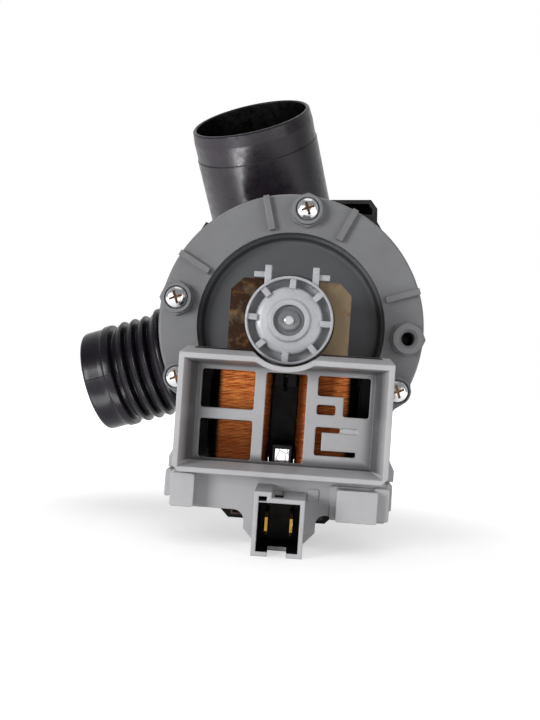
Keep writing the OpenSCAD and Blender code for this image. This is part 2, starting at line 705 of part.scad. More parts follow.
module wire_tube() {
    last = len(wire_path) - 1;
    starts = wire_path[0] - tangent(0) * wire_d;
    ends = wire_path[last] + tangent(last) * wire_d;
    rings = concat([wire_ring(starts, tangent(0))],
        [for (i = [0:last]) wire_ring(wire_path[i], tangent(i))],
        [wire_ring(ends, tangent(last))]);
    points = [for (r = rings) for (p = r) p];
    n = len(rings);
    faces = concat(
        [for (i = [0:n - 2]) for (j = [0:5])
            [6 * i + j, 6 * i + 6 + (j + 1) % 6, 6 * i + (j + 1) % 6]],
        [for (i = [0:n - 2]) for (j = [0:5]) [6 * i + j, 6 * i + 6 + j, 6 * i + 6 + (j + 1) % 6]],
        [for (j = [1:4]) [0, j, j + 1]],
        [for (j = [1:4]) [6 * (n - 1), 6 * (n - 1) + j + 1, 6 * (n - 1) + j]]);
    polyhedron(points, faces, convexity = 10);
}
least_wire_gap = min([for (i = [0:len(wire_path) - 1]) for (j = [i + steps - 6:i + steps + 6])
    if (j < len(wire_path)) norm(wire_path[i] - wire_path[j])]) - wire_d;
echo(least_wire_gap = least_wire_gap);
module coil() {
    translate([arm_mid, 0, core_mid]) wire_tube();
    inner_x = tube_half_x + layer_gap;
    inner_z = tube_half_z + layer_gap;
    outer_x = coil_half_x - wire_d - layer_gap;
    outer_z = coil_half_z - wire_d - layer_gap;
    along_y(-coil_top - layer_gap, -bobbin_bottom + bobbin_flange_t + layer_gap) difference() {
        frame_2d(outer_x, outer_z, wire_corner - wire_r - layer_gap);
        frame_2d(inner_x, inner_z, 0.6);
    }
}
module coil_right() in_place() color("#b0602a") coil();
module coil_left() in_place() color("#b0602a") mirror([1, 0, 0]) coil();

// Coil cover: windowed tray, base plate with keyed socket, side skirts
module tray_outline() {
    translate([tray_x, 0]) {
        rounded([-tray_half_w, -tray_bottom], [tray_half_w, -tray_top + 4], 1.5);
        polygon([
            [-tray_half_w, -tray_bottom + 2], [-tray_half_w, -tray_bottom],
            [-tray_half_w + 1.8, -tray_bottom - 1.9], [tray_half_w - 1.8, -tray_bottom - 1.9],
            [tray_half_w, -tray_bottom], [tray_half_w, -tray_bottom + 2]]);
    }
}
module plate_outline() {
    wing = socket_half_w + 3.6;
    rounded([-plate_half_w, -plate_bottom], [plate_half_w, -tray_bottom - 2.6], 1);
    translate([tray_x - tray_half_w + 2, -tray_bottom - 4]) square([tray_w - 4, 4]);
    polygon([
        [socket_x - wing, -plate_bottom + 1], [socket_x - wing, -socket_bottom + 4.4],
        [socket_x - socket_half_w - 0.4, -socket_bottom + 1], [socket_x + socket_half_w + 0.4,
        -socket_bottom + 1], [socket_x + wing, -socket_bottom + 4.4],
        [socket_x + wing, -plate_bottom + 1]]);
    corner_fill(socket_x - wing, 3.2, -1);
    corner_fill(socket_x + wing, 2.8, 1);
}
// Rounded inner corner where the socket's wing leaves the plate's lower edge
module corner_fill(x, r, side) {
    difference() {
        translate([side < 0 ? x - r : x, -plate_bottom - r]) square([r, r + 0.1]);
        translate([x + side * r, -plate_bottom - r]) circle(r);
    }
}
module windows() translate([tray_x, 0]) {
    mid = -(window_top + window_bottom) / 2 + 0.1;
    left_in = -window_out + 16.2;
    mid_in = left_in + bar_w;
    mid_out = 6.4;
    right_in = mid_out + bar_w;
    rounded([-window_out, mid + bar_w / 2], [left_in, -window_top], 0.8);
    rounded([-window_out + 0.2, -window_bottom], [left_in, mid - bar_w / 2], 0.8);
    rounded([mid_in, -window_bottom], [mid_out, -window_top], 0.8);
    rounded([right_in, -window_top - 6.1], [window_out, -window_top], 0.8);
    rounded([window_out - 7.9, -window_top - 12], [window_out, -window_top], 0.8);
    rounded([right_in, -window_top - 11.7], [right_in + 5.7, -window_top - 8.7], 0.8);
    rounded([right_in, -window_bottom + 2.9], [right_in + 2, -window_bottom + 11.5], 0.8);
    rounded([right_in, -window_bottom + 9.9], [right_in + 7.4, -window_bottom + 11.5], 0.7);
    rounded([right_in, -window_bottom + 2.9], [right_in + 12.6, -window_bottom + 4.5], 0.7);
}
module tray_cavity() {
    top = tray_top + rim_t;
    difference() {
        intersection() {
            along_y(-tray_top + 4, -tray_bottom - 8) polygon([
                [tray_x - floor_half_w, sheet_front], [tray_x + floor_half_w, sheet_front],
                [tray_x + tray_half_w - rim_t, rim_z + eps],
                [tray_x - tray_half_w + rim_t, rim_z + eps]]);
            along_x(-tray_half_w, tray_half_w + 1) polygon([
                [-floor_bottom, sheet_front], [-floor_top, sheet_front],
                [-top, rim_z + eps], [-tray_bottom - 0.4, rim_z + eps]]);
        }
        disc(dip_r + rim_t, sheet_front - 1, rim_z + 1);
    }
}
module socket_outline(grow) {
    translate([socket_x, 0]) {
        translate([-socket_half_w - grow, -socket_bottom - grow])
            square([socket_w + 2 * grow, socket_bottom - socket_top + 2 * grow]);
        translate([-socket_half_w - grow, -socket_top - 1])
            square([key_w + 2 * grow, key_h + 1 + grow]);
    }
}
module coil_cover() in_place() color("#a5a5a7") difference() {
    union() {
        intersection() {
            slab(top_wall_back, rim_z) tray_outline();
            along_x(-tray_half_w, tray_half_w + 1) polygon([
                [-tray_bottom - 3, sheet_back], [-bobbin_top + gap, sheet_back],
                [-tray_top - 1.4, top_wall_back],
                [-tray_top + top_slope * (rim_z - top_wall_back), top_wall_back],
                [-tray_top, rim_z], [-tray_bottom - 3, rim_z]]);
        }
        slab(sheet_back, sheet_front) plate_outline();
        for (s = [-1, 1]) translate([tray_x, 0, 0]) mirror([s < 0 ? 1 : 0, 0, 0]) side_skirt();
        plate_blocks();
        slab(sheet_back, socket_front) socket_outline(0);
    }
    tray_cavity();
    disc(dip_r, top_wall_back - 1, rim_z + 1);
    slab(sheet_back - 1, sheet_front + 1) windows();
    slab(sheet_front - 0.5, sheet_front + 1) translate([tray_x, 0])
        rounded([window_out - 8.6, -window_bottom + 9.9],
            [window_out - 2.9, -window_bottom + 11.5], 0.7);
    slab(sheet_back - 1, socket_front + 1) socket_outline(-socket_wall);
    slab(sheet_front + 2, socket_front - 2.6)
        translate([socket_x - 1.7, -socket_top - socket_wall - 1]) square([2.7, 4]);
    slab(socket_front - 9.4, socket_front + 1)
        translate([socket_x - 2.7, -socket_bottom - 1]) square([5.4, socket_wall + 1.5]);
}
// Raised blocks of the base plate, and its side walls
module plate_blocks() {
    slab(sheet_back, sheet_front + 5.6)
        rounded([-plate_half_w + 0.8, -plate_bottom + 0.6], [-plate_half_w + 7.8, -tray_bottom - 2.8], 0.8);
    slab(sheet_back, sheet_front + 2)
        rounded([plate_half_w - 16.6, -plate_bottom - 0.8], [plate_half_w, -tray_bottom - 4], 0.8);
    slab(sheet_back, sheet_front + 7.6)
        rounded([plate_half_w - 15, -plate_bottom - 0.4],
            [plate_half_w - 3, -tray_bottom - 4.4], 0.6);
    slab(sheet_back, sheet_front + 4.2)
        rounded([plate_half_w - 3.8, -plate_bottom], [plate_half_w + 0.7, -tray_bottom - 3.6], 0.8);
    slab(sheet_back, sheet_front + 0.3) translate([socket_x + socket_half_w, -tray_bottom])
        rounded([0.7, -9.3], [4.1, -5.6], 0.5);
    for (x = [-plate_half_w - 1.8, plate_half_w])
        slab(sheet_back - 6, sheet_front - 0.4)
            rounded([x, -plate_bottom + 2.6], [x + 1.8, -tray_bottom - 2.6], 0.6);
}
// Skirt beside the coils, with a lip behind them and a snap hook on its lower end
module side_skirt() {
    slab(skirt_back, sheet_front) translate([skirt_half_w - skirt_t, -tray_bottom - 1])
        square([skirt_t, tray_bottom - tray_top - 1]);
    slab(skirt_back, skirt_back + 1.6) translate([coil_half_x + arm_mid + 1.2, -tray_bottom - 1])
        square([skirt_half_w - coil_half_x - arm_mid - 1.7, tray_bottom - tray_top - 1]);
    slab(sheet_back - 9, sheet_back - 2) polygon([
        [skirt_half_w - 0.5, -tray_bottom + 5.8], [skirt_half_w + 1.7, -tray_bottom + 5.8],
        [skirt_half_w + 4.1, -tray_bottom + 1.1], [skirt_half_w + 4.1, -tray_bottom - 2.2],
        [skirt_half_w - 0.5, -tray_bottom - 2.6]]);
}

// Black insulator that fills the foot of the socket and holds the two blades
module contact_block() in_place() color("#151517") translate([socket_x, 0, 0]) difference() {
    union() {
        slab(block_back, sheet_back - gap) translate([-block_half_w - 1.2, -block_bottom - 1.2])
            square([2 * block_half_w + 2.4, block_bottom + 1.2 - block_top]);
        slab(block_back, block_front) translate([-blade_pitch / 2 - 0.5, -block_bottom])
            square([blade_pitch + 1, block_bottom - block_top]);
    }
    for (s = [-1, 1]) {
        slab(block_back - 1, blade_front) translate([
            s * blade_pitch / 2 - blade_t / 2 - run, blade_mid_y - blade_w / 2 - run])
            square([blade_t + 2 * run, blade_w + 2 * run]);
        slab(block_back - 1, block_back + 2.4)
            translate([s < 0 ? -block_half_w - 2 : blade_pitch / 2, blade_mid_y - 0.7])
            square([block_half_w + 2 - blade_pitch / 2, 1.4]);
    }
}
module blade(x) {
    along_x(socket_x + x - blade_t / 2, socket_x + x + blade_t / 2) polygon([
        [blade_mid_y - blade_w / 2, block_back + 0.1], [blade_mid_y + blade_w / 2, block_back + 0.1],
        [blade_mid_y + blade_w / 2, blade_front - 1], [blade_mid_y + blade_w / 2 - 1.2, blade_front],
        [blade_mid_y - blade_w / 2 + 1.2, blade_front], [blade_mid_y - blade_w / 2, blade_front - 1]]);
}
module blade_left() in_place() color("#c9a24a") blade(-blade_pitch / 2);
module blade_right() in_place() color("#c9a24a") blade(blade_pitch / 2);

// Thermal fuse in its holder, between the lower ends of the coils
fuse_x = 0.5;
fuse_y = -(window_bottom - 1.8);
fuse_z = sheet_back - 4;
strip_half_w = arm_mid - bobbin_half_x - gap;
wide_half_w = arm_mid - coil_half_x - 0.15;
box_half_w = strip_half_w - fuse_x;
module fuse_holder() in_place() color("#19191b") {
    strip_top = -coil_top - 0.6;
    strip_bottom = -yoke_top + gap;
    wide_bottom = -bobbin_bottom + bobbin_flange_t + gap;
    slab(core_z + 1, core_z + 4) difference() {
        union() {
            translate([-strip_half_w, strip_bottom])
                square([2 * strip_half_w, strip_top - strip_bottom]);
            translate([-wide_half_w, wide_bottom])
                square([2 * wide_half_w, strip_top - wide_bottom]);
        }
        translate([-0.5, strip_top - 6]) square([1, 7]);
    }
    for (s = [-1, 1]) slab(core_z + 3.9, core_z + 13)
        translate([s * (strip_half_w + 0.6) / 2 - (strip_half_w - 0.6) / 2, strip_top - 4.4])
            square([strip_half_w - 0.6, 4.4]);
    translate([fuse_x, fuse_y, 0]) difference() {
        slab(core_z + 3.9, fuse_z + 2.6) translate([-box_half_w, -3.4]) square([2 * box_half_w, 6.6]);
        slab(fuse_z - 2.2, fuse_z + 3) translate([-box_half_w + 0.7, -2.5])
            square([2 * box_half_w - 1.4, 4.6]);
    }
}
module thermal_fuse() in_place() color("#cfd2d4") translate([fuse_x, fuse_y, 0])
    slab(fuse_z - 2.15, fuse_z + 1.8) translate([-box_half_w + 0.8, -2.4])
        square([2 * box_half_w - 1.6, 4.4]);

// Leads from the lower flanges of the bobbins to the blades
lead_d = 0.9;
module lead(points) {
    for (i = [0:len(points) - 2]) {
        v = points[i + 1] - points[i];
        translate(points[i]) rotate([0, acos(v.z / norm(v)), atan2(v.y, v.x)])
            cylinder(r = lead_d / 2, h = norm(v), $fn = 16);
    }
    for (p = points) translate(p) sphere(r = lead_d / 2, $fn = 16);
}
module lead_wires() in_place() color("#8c2f1b") {
    z = block_back + 1;
    for (s = [-1, 1]) lead([
        [s * arm_mid, -bobbin_bottom - 0.15 - lead_d / 2, z],
        [s * arm_mid, blade_mid_y, z],
        [socket_x + s * (blade_pitch / 2 + blade_t / 2 + run + lead_d / 2), blade_mid_y, z]]);
}

module rotor_shaft() in_place() color("#d0d3d6") difference() {
    disc(shaft_r, shaft_back, shaft_front);
    ring(shaft_r + 1, shaft_r - 0.5, ring_z - 0.85, ring_z + 0.05);
}
module rotor_magnet() in_place() color("#3a3b3e")
    ring(magnet_r, carrier_r + eps, magnet_z, magnet_z + magnet_len);
module magnet_carrier() in_place() color("#e2e0d6") rotate_extrude() polygon([
    [shaft_r + eps, magnet_z - 4.7], [carrier_r + 1, magnet_z - 4.7], [carrier_r + 1, magnet_z - 2.5],
    [magnet_r - 0.6, magnet_z - 2.2], [magnet_r - 0.6, magnet_z], [carrier_r, magnet_z],
    [carrier_r, magnet_z + magnet_len - 0.3], [shaft_r + eps, magnet_z + magnet_len - 0.3]]);
module thrust_washer() in_place() color("#c8b58a")
    ring(4, shaft_r + run, rear_bush_z + rear_bush_len + run,
        rear_bush_z + rear_bush_len + run + washer_t);

// Clutch: the dog on the shaft drives the impeller through a tooth, with most of a turn free
module clutch_dog() in_place() color("#dcdcd4") slab(dog_front - dog_len, dog_front) difference() {
    union() {
        circle(sleeve_r);
        sector(dog_r, sleeve_r - 0.6, 90 - tooth_angle / 2, 90 + tooth_angle / 2);
    }
    circle(shaft_r + eps);
}
module impeller() in_place() color("#2c3e50") difference() {
    union() {
        disc(impeller_d / 2, disc_front - disc_t, disc_front);
        disc(hub_r, cavity_back, disc_front);
        for (i = [0:vanes - 1]) rotate([0, 0, 90 + i * 360 / vanes])
            along_y(vane_t / 2, -vane_t / 2) polygon([
                [hub_r - 0.8, disc_front - 0.5], [impeller_d / 2, disc_front - 0.5],
                [impeller_d / 2, disc_front - vane_h + 4], [impeller_d / 2 - 3, disc_front - vane_h],
                [hub_r + 3, disc_front - vane_h], [hub_r + gap, cavity_back],
                [hub_r - 0.8, cavity_back + 0.5]]);
    }
    slab(cavity_back - 1, cavity_front) difference() {
        circle(cavity_r);
        sector(cavity_r + 1, sleeve_r + gap, 270 - tooth_angle / 2, 270 + tooth_angle / 2);
    }
    disc(shaft_r + run, cavity_front - 1, disc_front + 1);
}
module impeller_cap() in_place() color("#2c3e50") difference() {
    union() {
        disc(hub_r, cap_back, cavity_back);
        slab(cavity_back - eps, cavity_back + cap_rim) difference() {
            circle(cavity_r - fit);
            circle(sleeve_r + gap);
            sector(cavity_r + 1, 0, 268 - tooth_angle / 2, 272 + tooth_angle / 2);
            circle(cavity_r - fit - 1.2);
        }
    }
    disc(shaft_r + run, cap_back - 1, cavity_back + 1);
}
// Rubber pads on both sides of the impeller's tooth
module clutch_damper() in_place() color("#101011") slab(cavity_back + cap_rim + gap, cavity_front - 0.5)
    for (s = [-1, 1])
        sector(cavity_r - fit, sleeve_r + gap + 0.4, 270 + s * (tooth_angle / 2 + 1.2),
            270 + s * (tooth_angle / 2 + 11));
module retaining_ring() in_place() color("#b9bdc1") difference() {
    ring(3.4, shaft_r - 0.45, ring_z - 0.8, ring_z);
    slab(ring_z - 1, ring_z + 1) translate([0, -1.2]) square([5, 2.4]);
}

pump_housing();
inlet_elbow();
outlet_bellows();
cover_seal();
cover_flange();
cover_screws();
rotor_canister();
canister_seal();
end_plug();
front_bearing();
bearing_boot();
rear_bearing();
bearing_holder();
shaft_seal();
stator_core();
bobbin_left();
bobbin_right();
coil_left();
coil_right();
coil_cover();
contact_block();
blade_left();
blade_right();
thermal_fuse();
fuse_holder();
lead_wires();
rotor_shaft();
rotor_magnet();
magnet_carrier();
thrust_washer();
clutch_dog();
impeller();
impeller_cap();
clutch_damper();
retaining_ring();
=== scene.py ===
"""Looks of a washer's drain pump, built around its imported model.

New pieces are worked out in motor coordinates, in millimetres: x to the right, y up, and z along
the rotor axis towards the motor end, with z = 0 on the front face of the cover.
placed() turns them into the row frame, in metres.
Materials read their place in the row frame, in millimetres. Its Y is the motor's z turned round.
"""

import math

import bpy
import numpy as np
from mathutils import Matrix, Vector


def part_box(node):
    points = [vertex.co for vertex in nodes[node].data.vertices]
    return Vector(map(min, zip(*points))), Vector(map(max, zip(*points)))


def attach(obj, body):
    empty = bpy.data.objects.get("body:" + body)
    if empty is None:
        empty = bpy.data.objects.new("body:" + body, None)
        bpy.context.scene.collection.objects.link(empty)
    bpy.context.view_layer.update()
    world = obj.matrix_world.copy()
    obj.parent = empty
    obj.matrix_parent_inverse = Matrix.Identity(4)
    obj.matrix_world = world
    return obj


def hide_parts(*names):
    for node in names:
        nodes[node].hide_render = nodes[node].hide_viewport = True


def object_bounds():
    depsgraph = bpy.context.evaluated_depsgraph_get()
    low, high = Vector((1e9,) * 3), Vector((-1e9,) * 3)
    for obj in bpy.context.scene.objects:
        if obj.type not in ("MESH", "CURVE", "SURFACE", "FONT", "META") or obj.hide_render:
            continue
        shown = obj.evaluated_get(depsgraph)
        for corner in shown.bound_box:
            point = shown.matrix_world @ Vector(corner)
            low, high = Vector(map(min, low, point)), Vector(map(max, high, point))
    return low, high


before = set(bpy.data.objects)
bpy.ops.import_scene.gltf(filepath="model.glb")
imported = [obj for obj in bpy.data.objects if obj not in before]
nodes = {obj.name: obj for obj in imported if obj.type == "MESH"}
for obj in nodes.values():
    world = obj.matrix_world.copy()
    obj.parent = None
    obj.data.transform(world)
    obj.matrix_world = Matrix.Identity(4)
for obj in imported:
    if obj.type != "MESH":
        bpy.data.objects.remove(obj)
cad_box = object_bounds()
shaft_low, shaft_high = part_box("rotor_shaft")
AXIS_X = (shaft_low.x + shaft_high.x) / 2
AXIS_Z = (shaft_low.z + shaft_high.z) / 2
FLOOR_Z = cad_box[0].z
chance = np.random.default_rng(7)

# Rooms in the coil cover: the middle, and the half size across, up and along the rotor axis
TRAY_ROOM = (0.4, -28.2, 37), (30.2, 15.4, 5.2)
COIL_ROOM = (0.4, -29, 15), (28.65, 19.5, 15.1)
SOCKET_ROOM = (1.1, -59.5, 32), (6.0, 7.0, 17.2)
# Painted shade is whole on the sides of this box, which lie near the tray's walls and run on past
# it.
TRAY_WALLS = (0.4, -28.2, 37), (27.2, 14.6, 90)
# Distances before the cover: painted shade begins just behind the tray's rim and is whole further
# in.
SHADE_FROM, SHADE_WHOLE = 42.2, 36.5

# The inlet tube: the middle of its mouth in motor coordinates, the clock of the way it points and
# its lean from the rotor axis, a radius inside its wall, and its straight run
MOUTH = (-21.35, 81.55, -38.65)
INLET_CLOCK, INLET_LEAN = math.radians(106.3), math.radians(60)
INSIDE_WALL_R, TUBE_RUN = 22.4, 53

# Radius of the dish in the cover, and the row Y of the disc in the canister's end
DISH_R = 31.8
DISC_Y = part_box("rotor_canister")[0].y * 1000 + 1.2

# Axes of the screws in motor coordinates: two on the cover's circle and two in its lower ears.
# The cross recess lies within its radius, between two distances before the cover.
SCREWS = [(3.24, 39.47), (-38.96, 7.08), (-36.9, -19.62), (36.9, -19.62)]
RECESS_R, RECESS_FROM, RECESS_TO = 2.32, 3.0, 4.9

# Coils: the middles of the bobbins across and along the axis, the winding's half sizes and corner,
# and how far its top and bottom lie below the axis
ARM_MID, CORE_MID = 13.65, 16.0
COIL_X, COIL_Z, COIL_CORNER = 9.45, 13.4, 4.0
COIL_TOP, COIL_BOTTOM = 15.35, 47.45

# Bellows, by distance from the rotor axis: the root, the spigot's end, the ribs, the band, the end
BELLOWS_FROM, SPIGOT_END = 44, 50
FIRST_RIB, RIB_PITCH, RIBS = 50.75, 4.15, 3
BAND_FROM, CUFF_END = 63.4, 74.2
# Its radii: grooves, ribs, the collar at the root, the cuff, and the two bores
GROOVE_R, RIB_R, COLLAR_R, CUFF_R = 16.0, 18.9, 20.2, 18.3
SPIGOT_BORE_R, CUFF_BORE_R = 14.25, 15.4
# The outlet's clock and its lean away from the motor, how far it lies behind the cover, and the
# chamber's outer radius
OUTLET_CLOCK, OUTLET_TILT = math.radians(198.6), math.radians(4)
OUTLET_BACK, BODY_R = 24.5, 38.0


def placed(points):
    """Motor coordinates in mm to the row frame in m: (x, y, z) becomes (x, -z, y) from the axis."""
    p = np.asarray(points, float).reshape(-1, 3) / 1000
    return np.stack([p[:, 0] + AXIS_X, -p[:, 2], p[:, 1] + AXIS_Z], 1)


def linear(colour):
    """sRGB hex to linear: c / 12.92 up to 0.04045, and ((c + 0.055) / 1.055) ** 2.4 above it."""
    parts = [int(colour[i : i + 2], 16) / 255 for i in (1, 3, 5)]
    return tuple(c / 12.92 if c <= 0.04045 else ((c + 0.055) / 1.055) ** 2.4 for c in parts) + (1,)


def add(tree, kind, inputs=(), **settings):
    """Adds one node: settings are its properties, and inputs are values or links by socket."""
    node = tree.nodes.new(kind)
    for key, value in settings.items():
        setattr(node, key, value)
    for key, value in dict(inputs).items():
        if isinstance(value, bpy.types.NodeSocket):
            tree.links.new(value, node.inputs[key])
        else:
            node.inputs[key].default_value = value
    return node


def start(name):
    """A new material: its tree, and the place in mm that its patterns read. The scale of a
    pattern is then per mm: 0.2 makes patches of about 5 mm."""
    material = bpy.data.materials.new(name)
    material.use_nodes = True
    tree = material.node_tree
    tree.nodes.clear()
    where = add(tree, "ShaderNodeTexCoord").outputs["Object"]
    mm = add(tree, "ShaderNodeMapping", {"Vector": where, "Scale": (1000, 1000, 1000)})
    return material, tree, mm.outputs["Vector"]


def close(tree, shader):
    """Puts the shader on the surface, which ends a material."""
    add(tree, "ShaderNodeOutputMaterial", {"Surface": shader.outputs[0]})


def moulded(name, colour, patch, rough, grain=0.35, depth=0.012, patch_mm=9, specular=0.5,
            gloss_swing=0.1, tint=None, edge=0.35, wave=0.0):
    """A moulded polymer: patches of a second colour, gloss that wanders, a fine eroded grain, and
    edges whose small round catches the light.

    patch_mm is the size of the patches and grain that of the skin's texture, both in mm. edge is
    the round of the edges, and depth and wave are how deep grain and patches go, in mm.
    The gloss wanders 2.3 times as finely as the patches. tint(tree, mm, colour) may add what only
    this piece has.
    """
    material, tree, mm = start(name)
    cloud = add(tree, "ShaderNodeTexNoise", {"Vector": mm, "Scale": 1 / patch_mm, "Detail": 4.0,
                                             "Roughness": 0.6})
    share = add(tree, "ShaderNodeMapRange", {"Value": cloud.outputs["Fac"], "From Min": 0.35,
                                             "From Max": 0.68})
    mixed = add(tree, "ShaderNodeMix", {"Factor": share.outputs["Result"], "A": linear(colour),
                                        "B": linear(patch)}, data_type="RGBA")
    base = mixed.outputs["Result"]
    if tint:
        base = tint(tree, mm, base)
    skin = add(tree, "ShaderNodeTexNoise", {"Vector": mm, "Scale": 1 / grain, "Detail": 2.0})
    wander = add(tree, "ShaderNodeTexNoise", {"Vector": mm, "Scale": 2.3 / patch_mm, "Detail": 5.0,
                                              "Roughness": 0.7})
    gloss = add(tree, "ShaderNodeMapRange", {"Value": wander.outputs["Fac"], "From Min": 0.3,
                                             "From Max": 0.7, "To Min": rough - gloss_swing,
                                             "To Max": rough + gloss_swing})
    height = add(tree, "ShaderNodeMath", {0: wander.outputs["Fac"], 1: wave / depth,
                                          2: skin.outputs["Fac"]}, operation="MULTIPLY_ADD")
    soft = add(tree, "ShaderNodeBevel", {"Radius": edge / 1000}, samples=6)
    bump = add(tree, "ShaderNodeBump", {"Height": height.outputs[0], "Strength": 0.6,
                                        "Distance": depth / 1000,
                                        "Normal": soft.outputs["Normal"]})
    shader = add(tree, "ShaderNodeBsdfPrincipled",
                 {"Base Color": base, "Roughness": gloss.outputs["Result"], "IOR": 1.5,
                  "Normal": bump.outputs["Normal"], "Specular IOR Level": specular})
    close(tree, shader)
    return material


def bare_metal(name, colour, stain, rough, stain_share=0.5, scratch=(1, 1, 1), scratch_mm=0.25,
               tint=None):
    """A bare metal: stained patches about 3 mm across, and fine scratches drawn out along one
    direction.

    scratch stretches the pattern: a small number makes it long along that axis.
    """
    material, tree, mm = start(name)
    cloud = add(tree, "ShaderNodeTexNoise", {"Vector": mm, "Scale": 0.3, "Detail": 6.0,
                                             "Roughness": 0.65})
    share = add(tree, "ShaderNodeMapRange", {"Value": cloud.outputs["Fac"],
                                             "From Min": 0.75 - stain_share / 2,
                                             "From Max": 1.0 - stain_share / 2})
    mixed = add(tree, "ShaderNodeMix", {"Factor": share.outputs["Result"], "A": linear(colour),
                                        "B": linear(stain)}, data_type="RGBA")
    base = mixed.outputs["Result"]
    if tint:
        base = tint(tree, mm, base)
    drawn = add(tree, "ShaderNodeMapping", {"Vector": mm, "Scale": scratch})
    lines = add(tree, "ShaderNodeTexNoise", {"Vector": drawn.outputs["Vector"],
                                             "Scale": 1 / scratch_mm, "Detail": 3.0})
    gloss = add(tree, "ShaderNodeMapRange", {"Value": lines.outputs["Fac"], "From Min": 0.3,
                                             "From Max": 0.7, "To Min": rough * 0.7,
                                             "To Max": rough * 1.4})
    bump = add(tree, "ShaderNodeBump", {"Height": lines.outputs["Fac"], "Strength": 0.35,
                                        "Distance": 0.00001})
    shader = add(tree, "ShaderNodeBsdfPrincipled",
                 {"Base Color": base, "Metallic": 1.0, "Roughness": gloss.outputs["Result"],
                  "Normal": bump.outputs["Normal"]})
    close(tree, shader)
    return material


def from_axis(tree, mm, x=0.0, y=0.0):
    """Distance in mm from the line along the rotor axis through (x, y) in motor coordinates."""
    flat = add(tree, "ShaderNodeMapping", {"Vector": mm, "Scale": (1, 0, 1), "Location": (
        -(AXIS_X * 1000 + x), 0, -(AXIS_Z * 1000 + y))})
    return add(tree, "ShaderNodeVectorMath", {0: flat.outputs["Vector"]},
               operation="LENGTH").outputs["Value"]


def out_of(tree, mm, centre, half):
    """How far out in a box a place lies: 0 in its middle and 1 on its faces. centre is in motor
    coordinates and half is its half size across, up and along the rotor axis, all in mm."""
    middle = tuple(placed(centre)[0] * 1000)
    away = add(tree, "ShaderNodeVectorMath", {0: mm, 1: middle}, operation="SUBTRACT")
    size = add(tree, "ShaderNodeVectorMath", {0: away.outputs[0]}, operation="ABSOLUTE")
    share = add(tree, "ShaderNodeVectorMath", {0: size.outputs[0],
                                               1: (half[0], half[2], half[1])},
                operation="DIVIDE")
    part = add(tree, "ShaderNodeSeparateXYZ", {0: share.outputs[0]}).outputs
    most = add(tree, "ShaderNodeMath", {0: part[0], 1: part[1]}, operation="MAXIMUM")
    return add(tree, "ShaderNodeMath", {0: most.outputs[0], 1: part[2]},
               operation="MAXIMUM").outputs[0]


def within(tree, mm, centre, half):
    """1 inside a box and 0 outside it."""
    return add(tree, "ShaderNodeMath", {0: out_of(tree, mm, centre, half), 1: 1.0},
               operation="LESS_THAN").outputs[0]


def tray_painted_shade(tree, mm, base):
    """Painted shade in the tray's recess: a little all over its floor, more up its walls and in its
    corners, and none on its rim."""
    low = add(tree, "ShaderNodeMapRange", {
        "Value": add(tree, "ShaderNodeSeparateXYZ", {0: mm}).outputs["Y"],
        "From Min": -SHADE_FROM, "From Max": -SHADE_WHOLE}).outputs["Result"]
    wall = add(tree, "ShaderNodeMapRange", {
        "Value": out_of(tree, mm, *TRAY_WALLS), "From Min": 0.84, "From Max": 1.0,
        "To Min": 0.18, "To Max": 0.88}, interpolation_type="SMOOTHSTEP").outputs["Result"]
    share = add(tree, "ShaderNodeMath", {0: low, 1: wall}, operation="MULTIPLY").outputs[0]
    share = add(tree, "ShaderNodeMath", {0: share, 1: within(tree, mm, *TRAY_ROOM)},
                operation="MULTIPLY").outputs[0]
    # painted shade: the tray's floor and walls darkened where shade falls in the recess
    return add(tree, "ShaderNodeMix", {"Factor": share, "A": base, "B": linear("#3e3e41")},
               data_type="RGBA").outputs["Result"]


def inner_painted_shade(tree, mm, base):
    """The walls round the coils and inside the socket are painted near-black as shade."""
    base = tray_painted_shade(tree, mm, base)
    both = add(tree, "ShaderNodeMath", {0: within(tree, mm, *COIL_ROOM),
                                        1: within(tree, mm, *SOCKET_ROOM)},
               operation="MAXIMUM").outputs[0]
    # painted shade: deep walls round the coils and in the socket painted near-black
    return add(tree, "ShaderNodeMix", {"Factor": both, "A": base, "B": linear("#0b0a0b")},
               data_type="RGBA").outputs["Result"]


def bore_painted_shade(tree, mm, base):
    """The straight bore of the inlet tube is painted black as shade: what lies nearer than a radius
    to the tube's axis, by the cross product, and no further in than its run, by the dot product."""
    mouth = tuple(placed(MOUTH)[0] * 1000)
    outwards = (math.sin(INLET_LEAN) * math.cos(INLET_CLOCK), -math.cos(INLET_LEAN),
                math.sin(INLET_LEAN) * math.sin(INLET_CLOCK))
    away = add(tree, "ShaderNodeVectorMath", {0: mm, 1: mouth}, operation="SUBTRACT").outputs[0]
    across = add(tree, "ShaderNodeVectorMath", {0: away, 1: outwards}, operation="CROSS_PRODUCT")
    r = add(tree, "ShaderNodeVectorMath", {0: across.outputs[0]}, operation="LENGTH")
    along = add(tree, "ShaderNodeVectorMath", {0: away, 1: outwards}, operation="DOT_PRODUCT")
    near = add(tree, "ShaderNodeMath", {0: r.outputs["Value"], 1: INSIDE_WALL_R},
               operation="LESS_THAN")
    deep = add(tree, "ShaderNodeMath", {0: along.outputs["Value"], 1: -TUBE_RUN},
               operation="GREATER_THAN")
    both = add(tree, "ShaderNodeMath", {0: near.outputs[0], 1: deep.outputs[0]},
               operation="MULTIPLY").outputs[0]
    # painted shade: the deep inside of the tube painted black
    return add(tree, "ShaderNodeMix", {"Factor": both, "A": base, "B": linear("#030303")},
               data_type="RGBA").outputs["Result"]


def crazed_plate(tree, mm, base):
    """Hairline cracks in the plating: the edges between cells about 2.5 mm across."""
    cells = add(tree, "ShaderNodeTexVoronoi", {"Vector": mm, "Scale": 1 / 2.5},
                feature="DISTANCE_TO_EDGE")
    line = add(tree, "ShaderNodeMapRange", {"Value": cells.outputs["Distance"], "From Min": 0.0,
                                            "From Max": 0.1, "To Min": 0.75,
                                            "To Max": 0.0}).outputs["Result"]
    return add(tree, "ShaderNodeMix", {"Factor": line, "A": base, "B": linear("#5e5450")},
               data_type="RGBA").outputs["Result"]


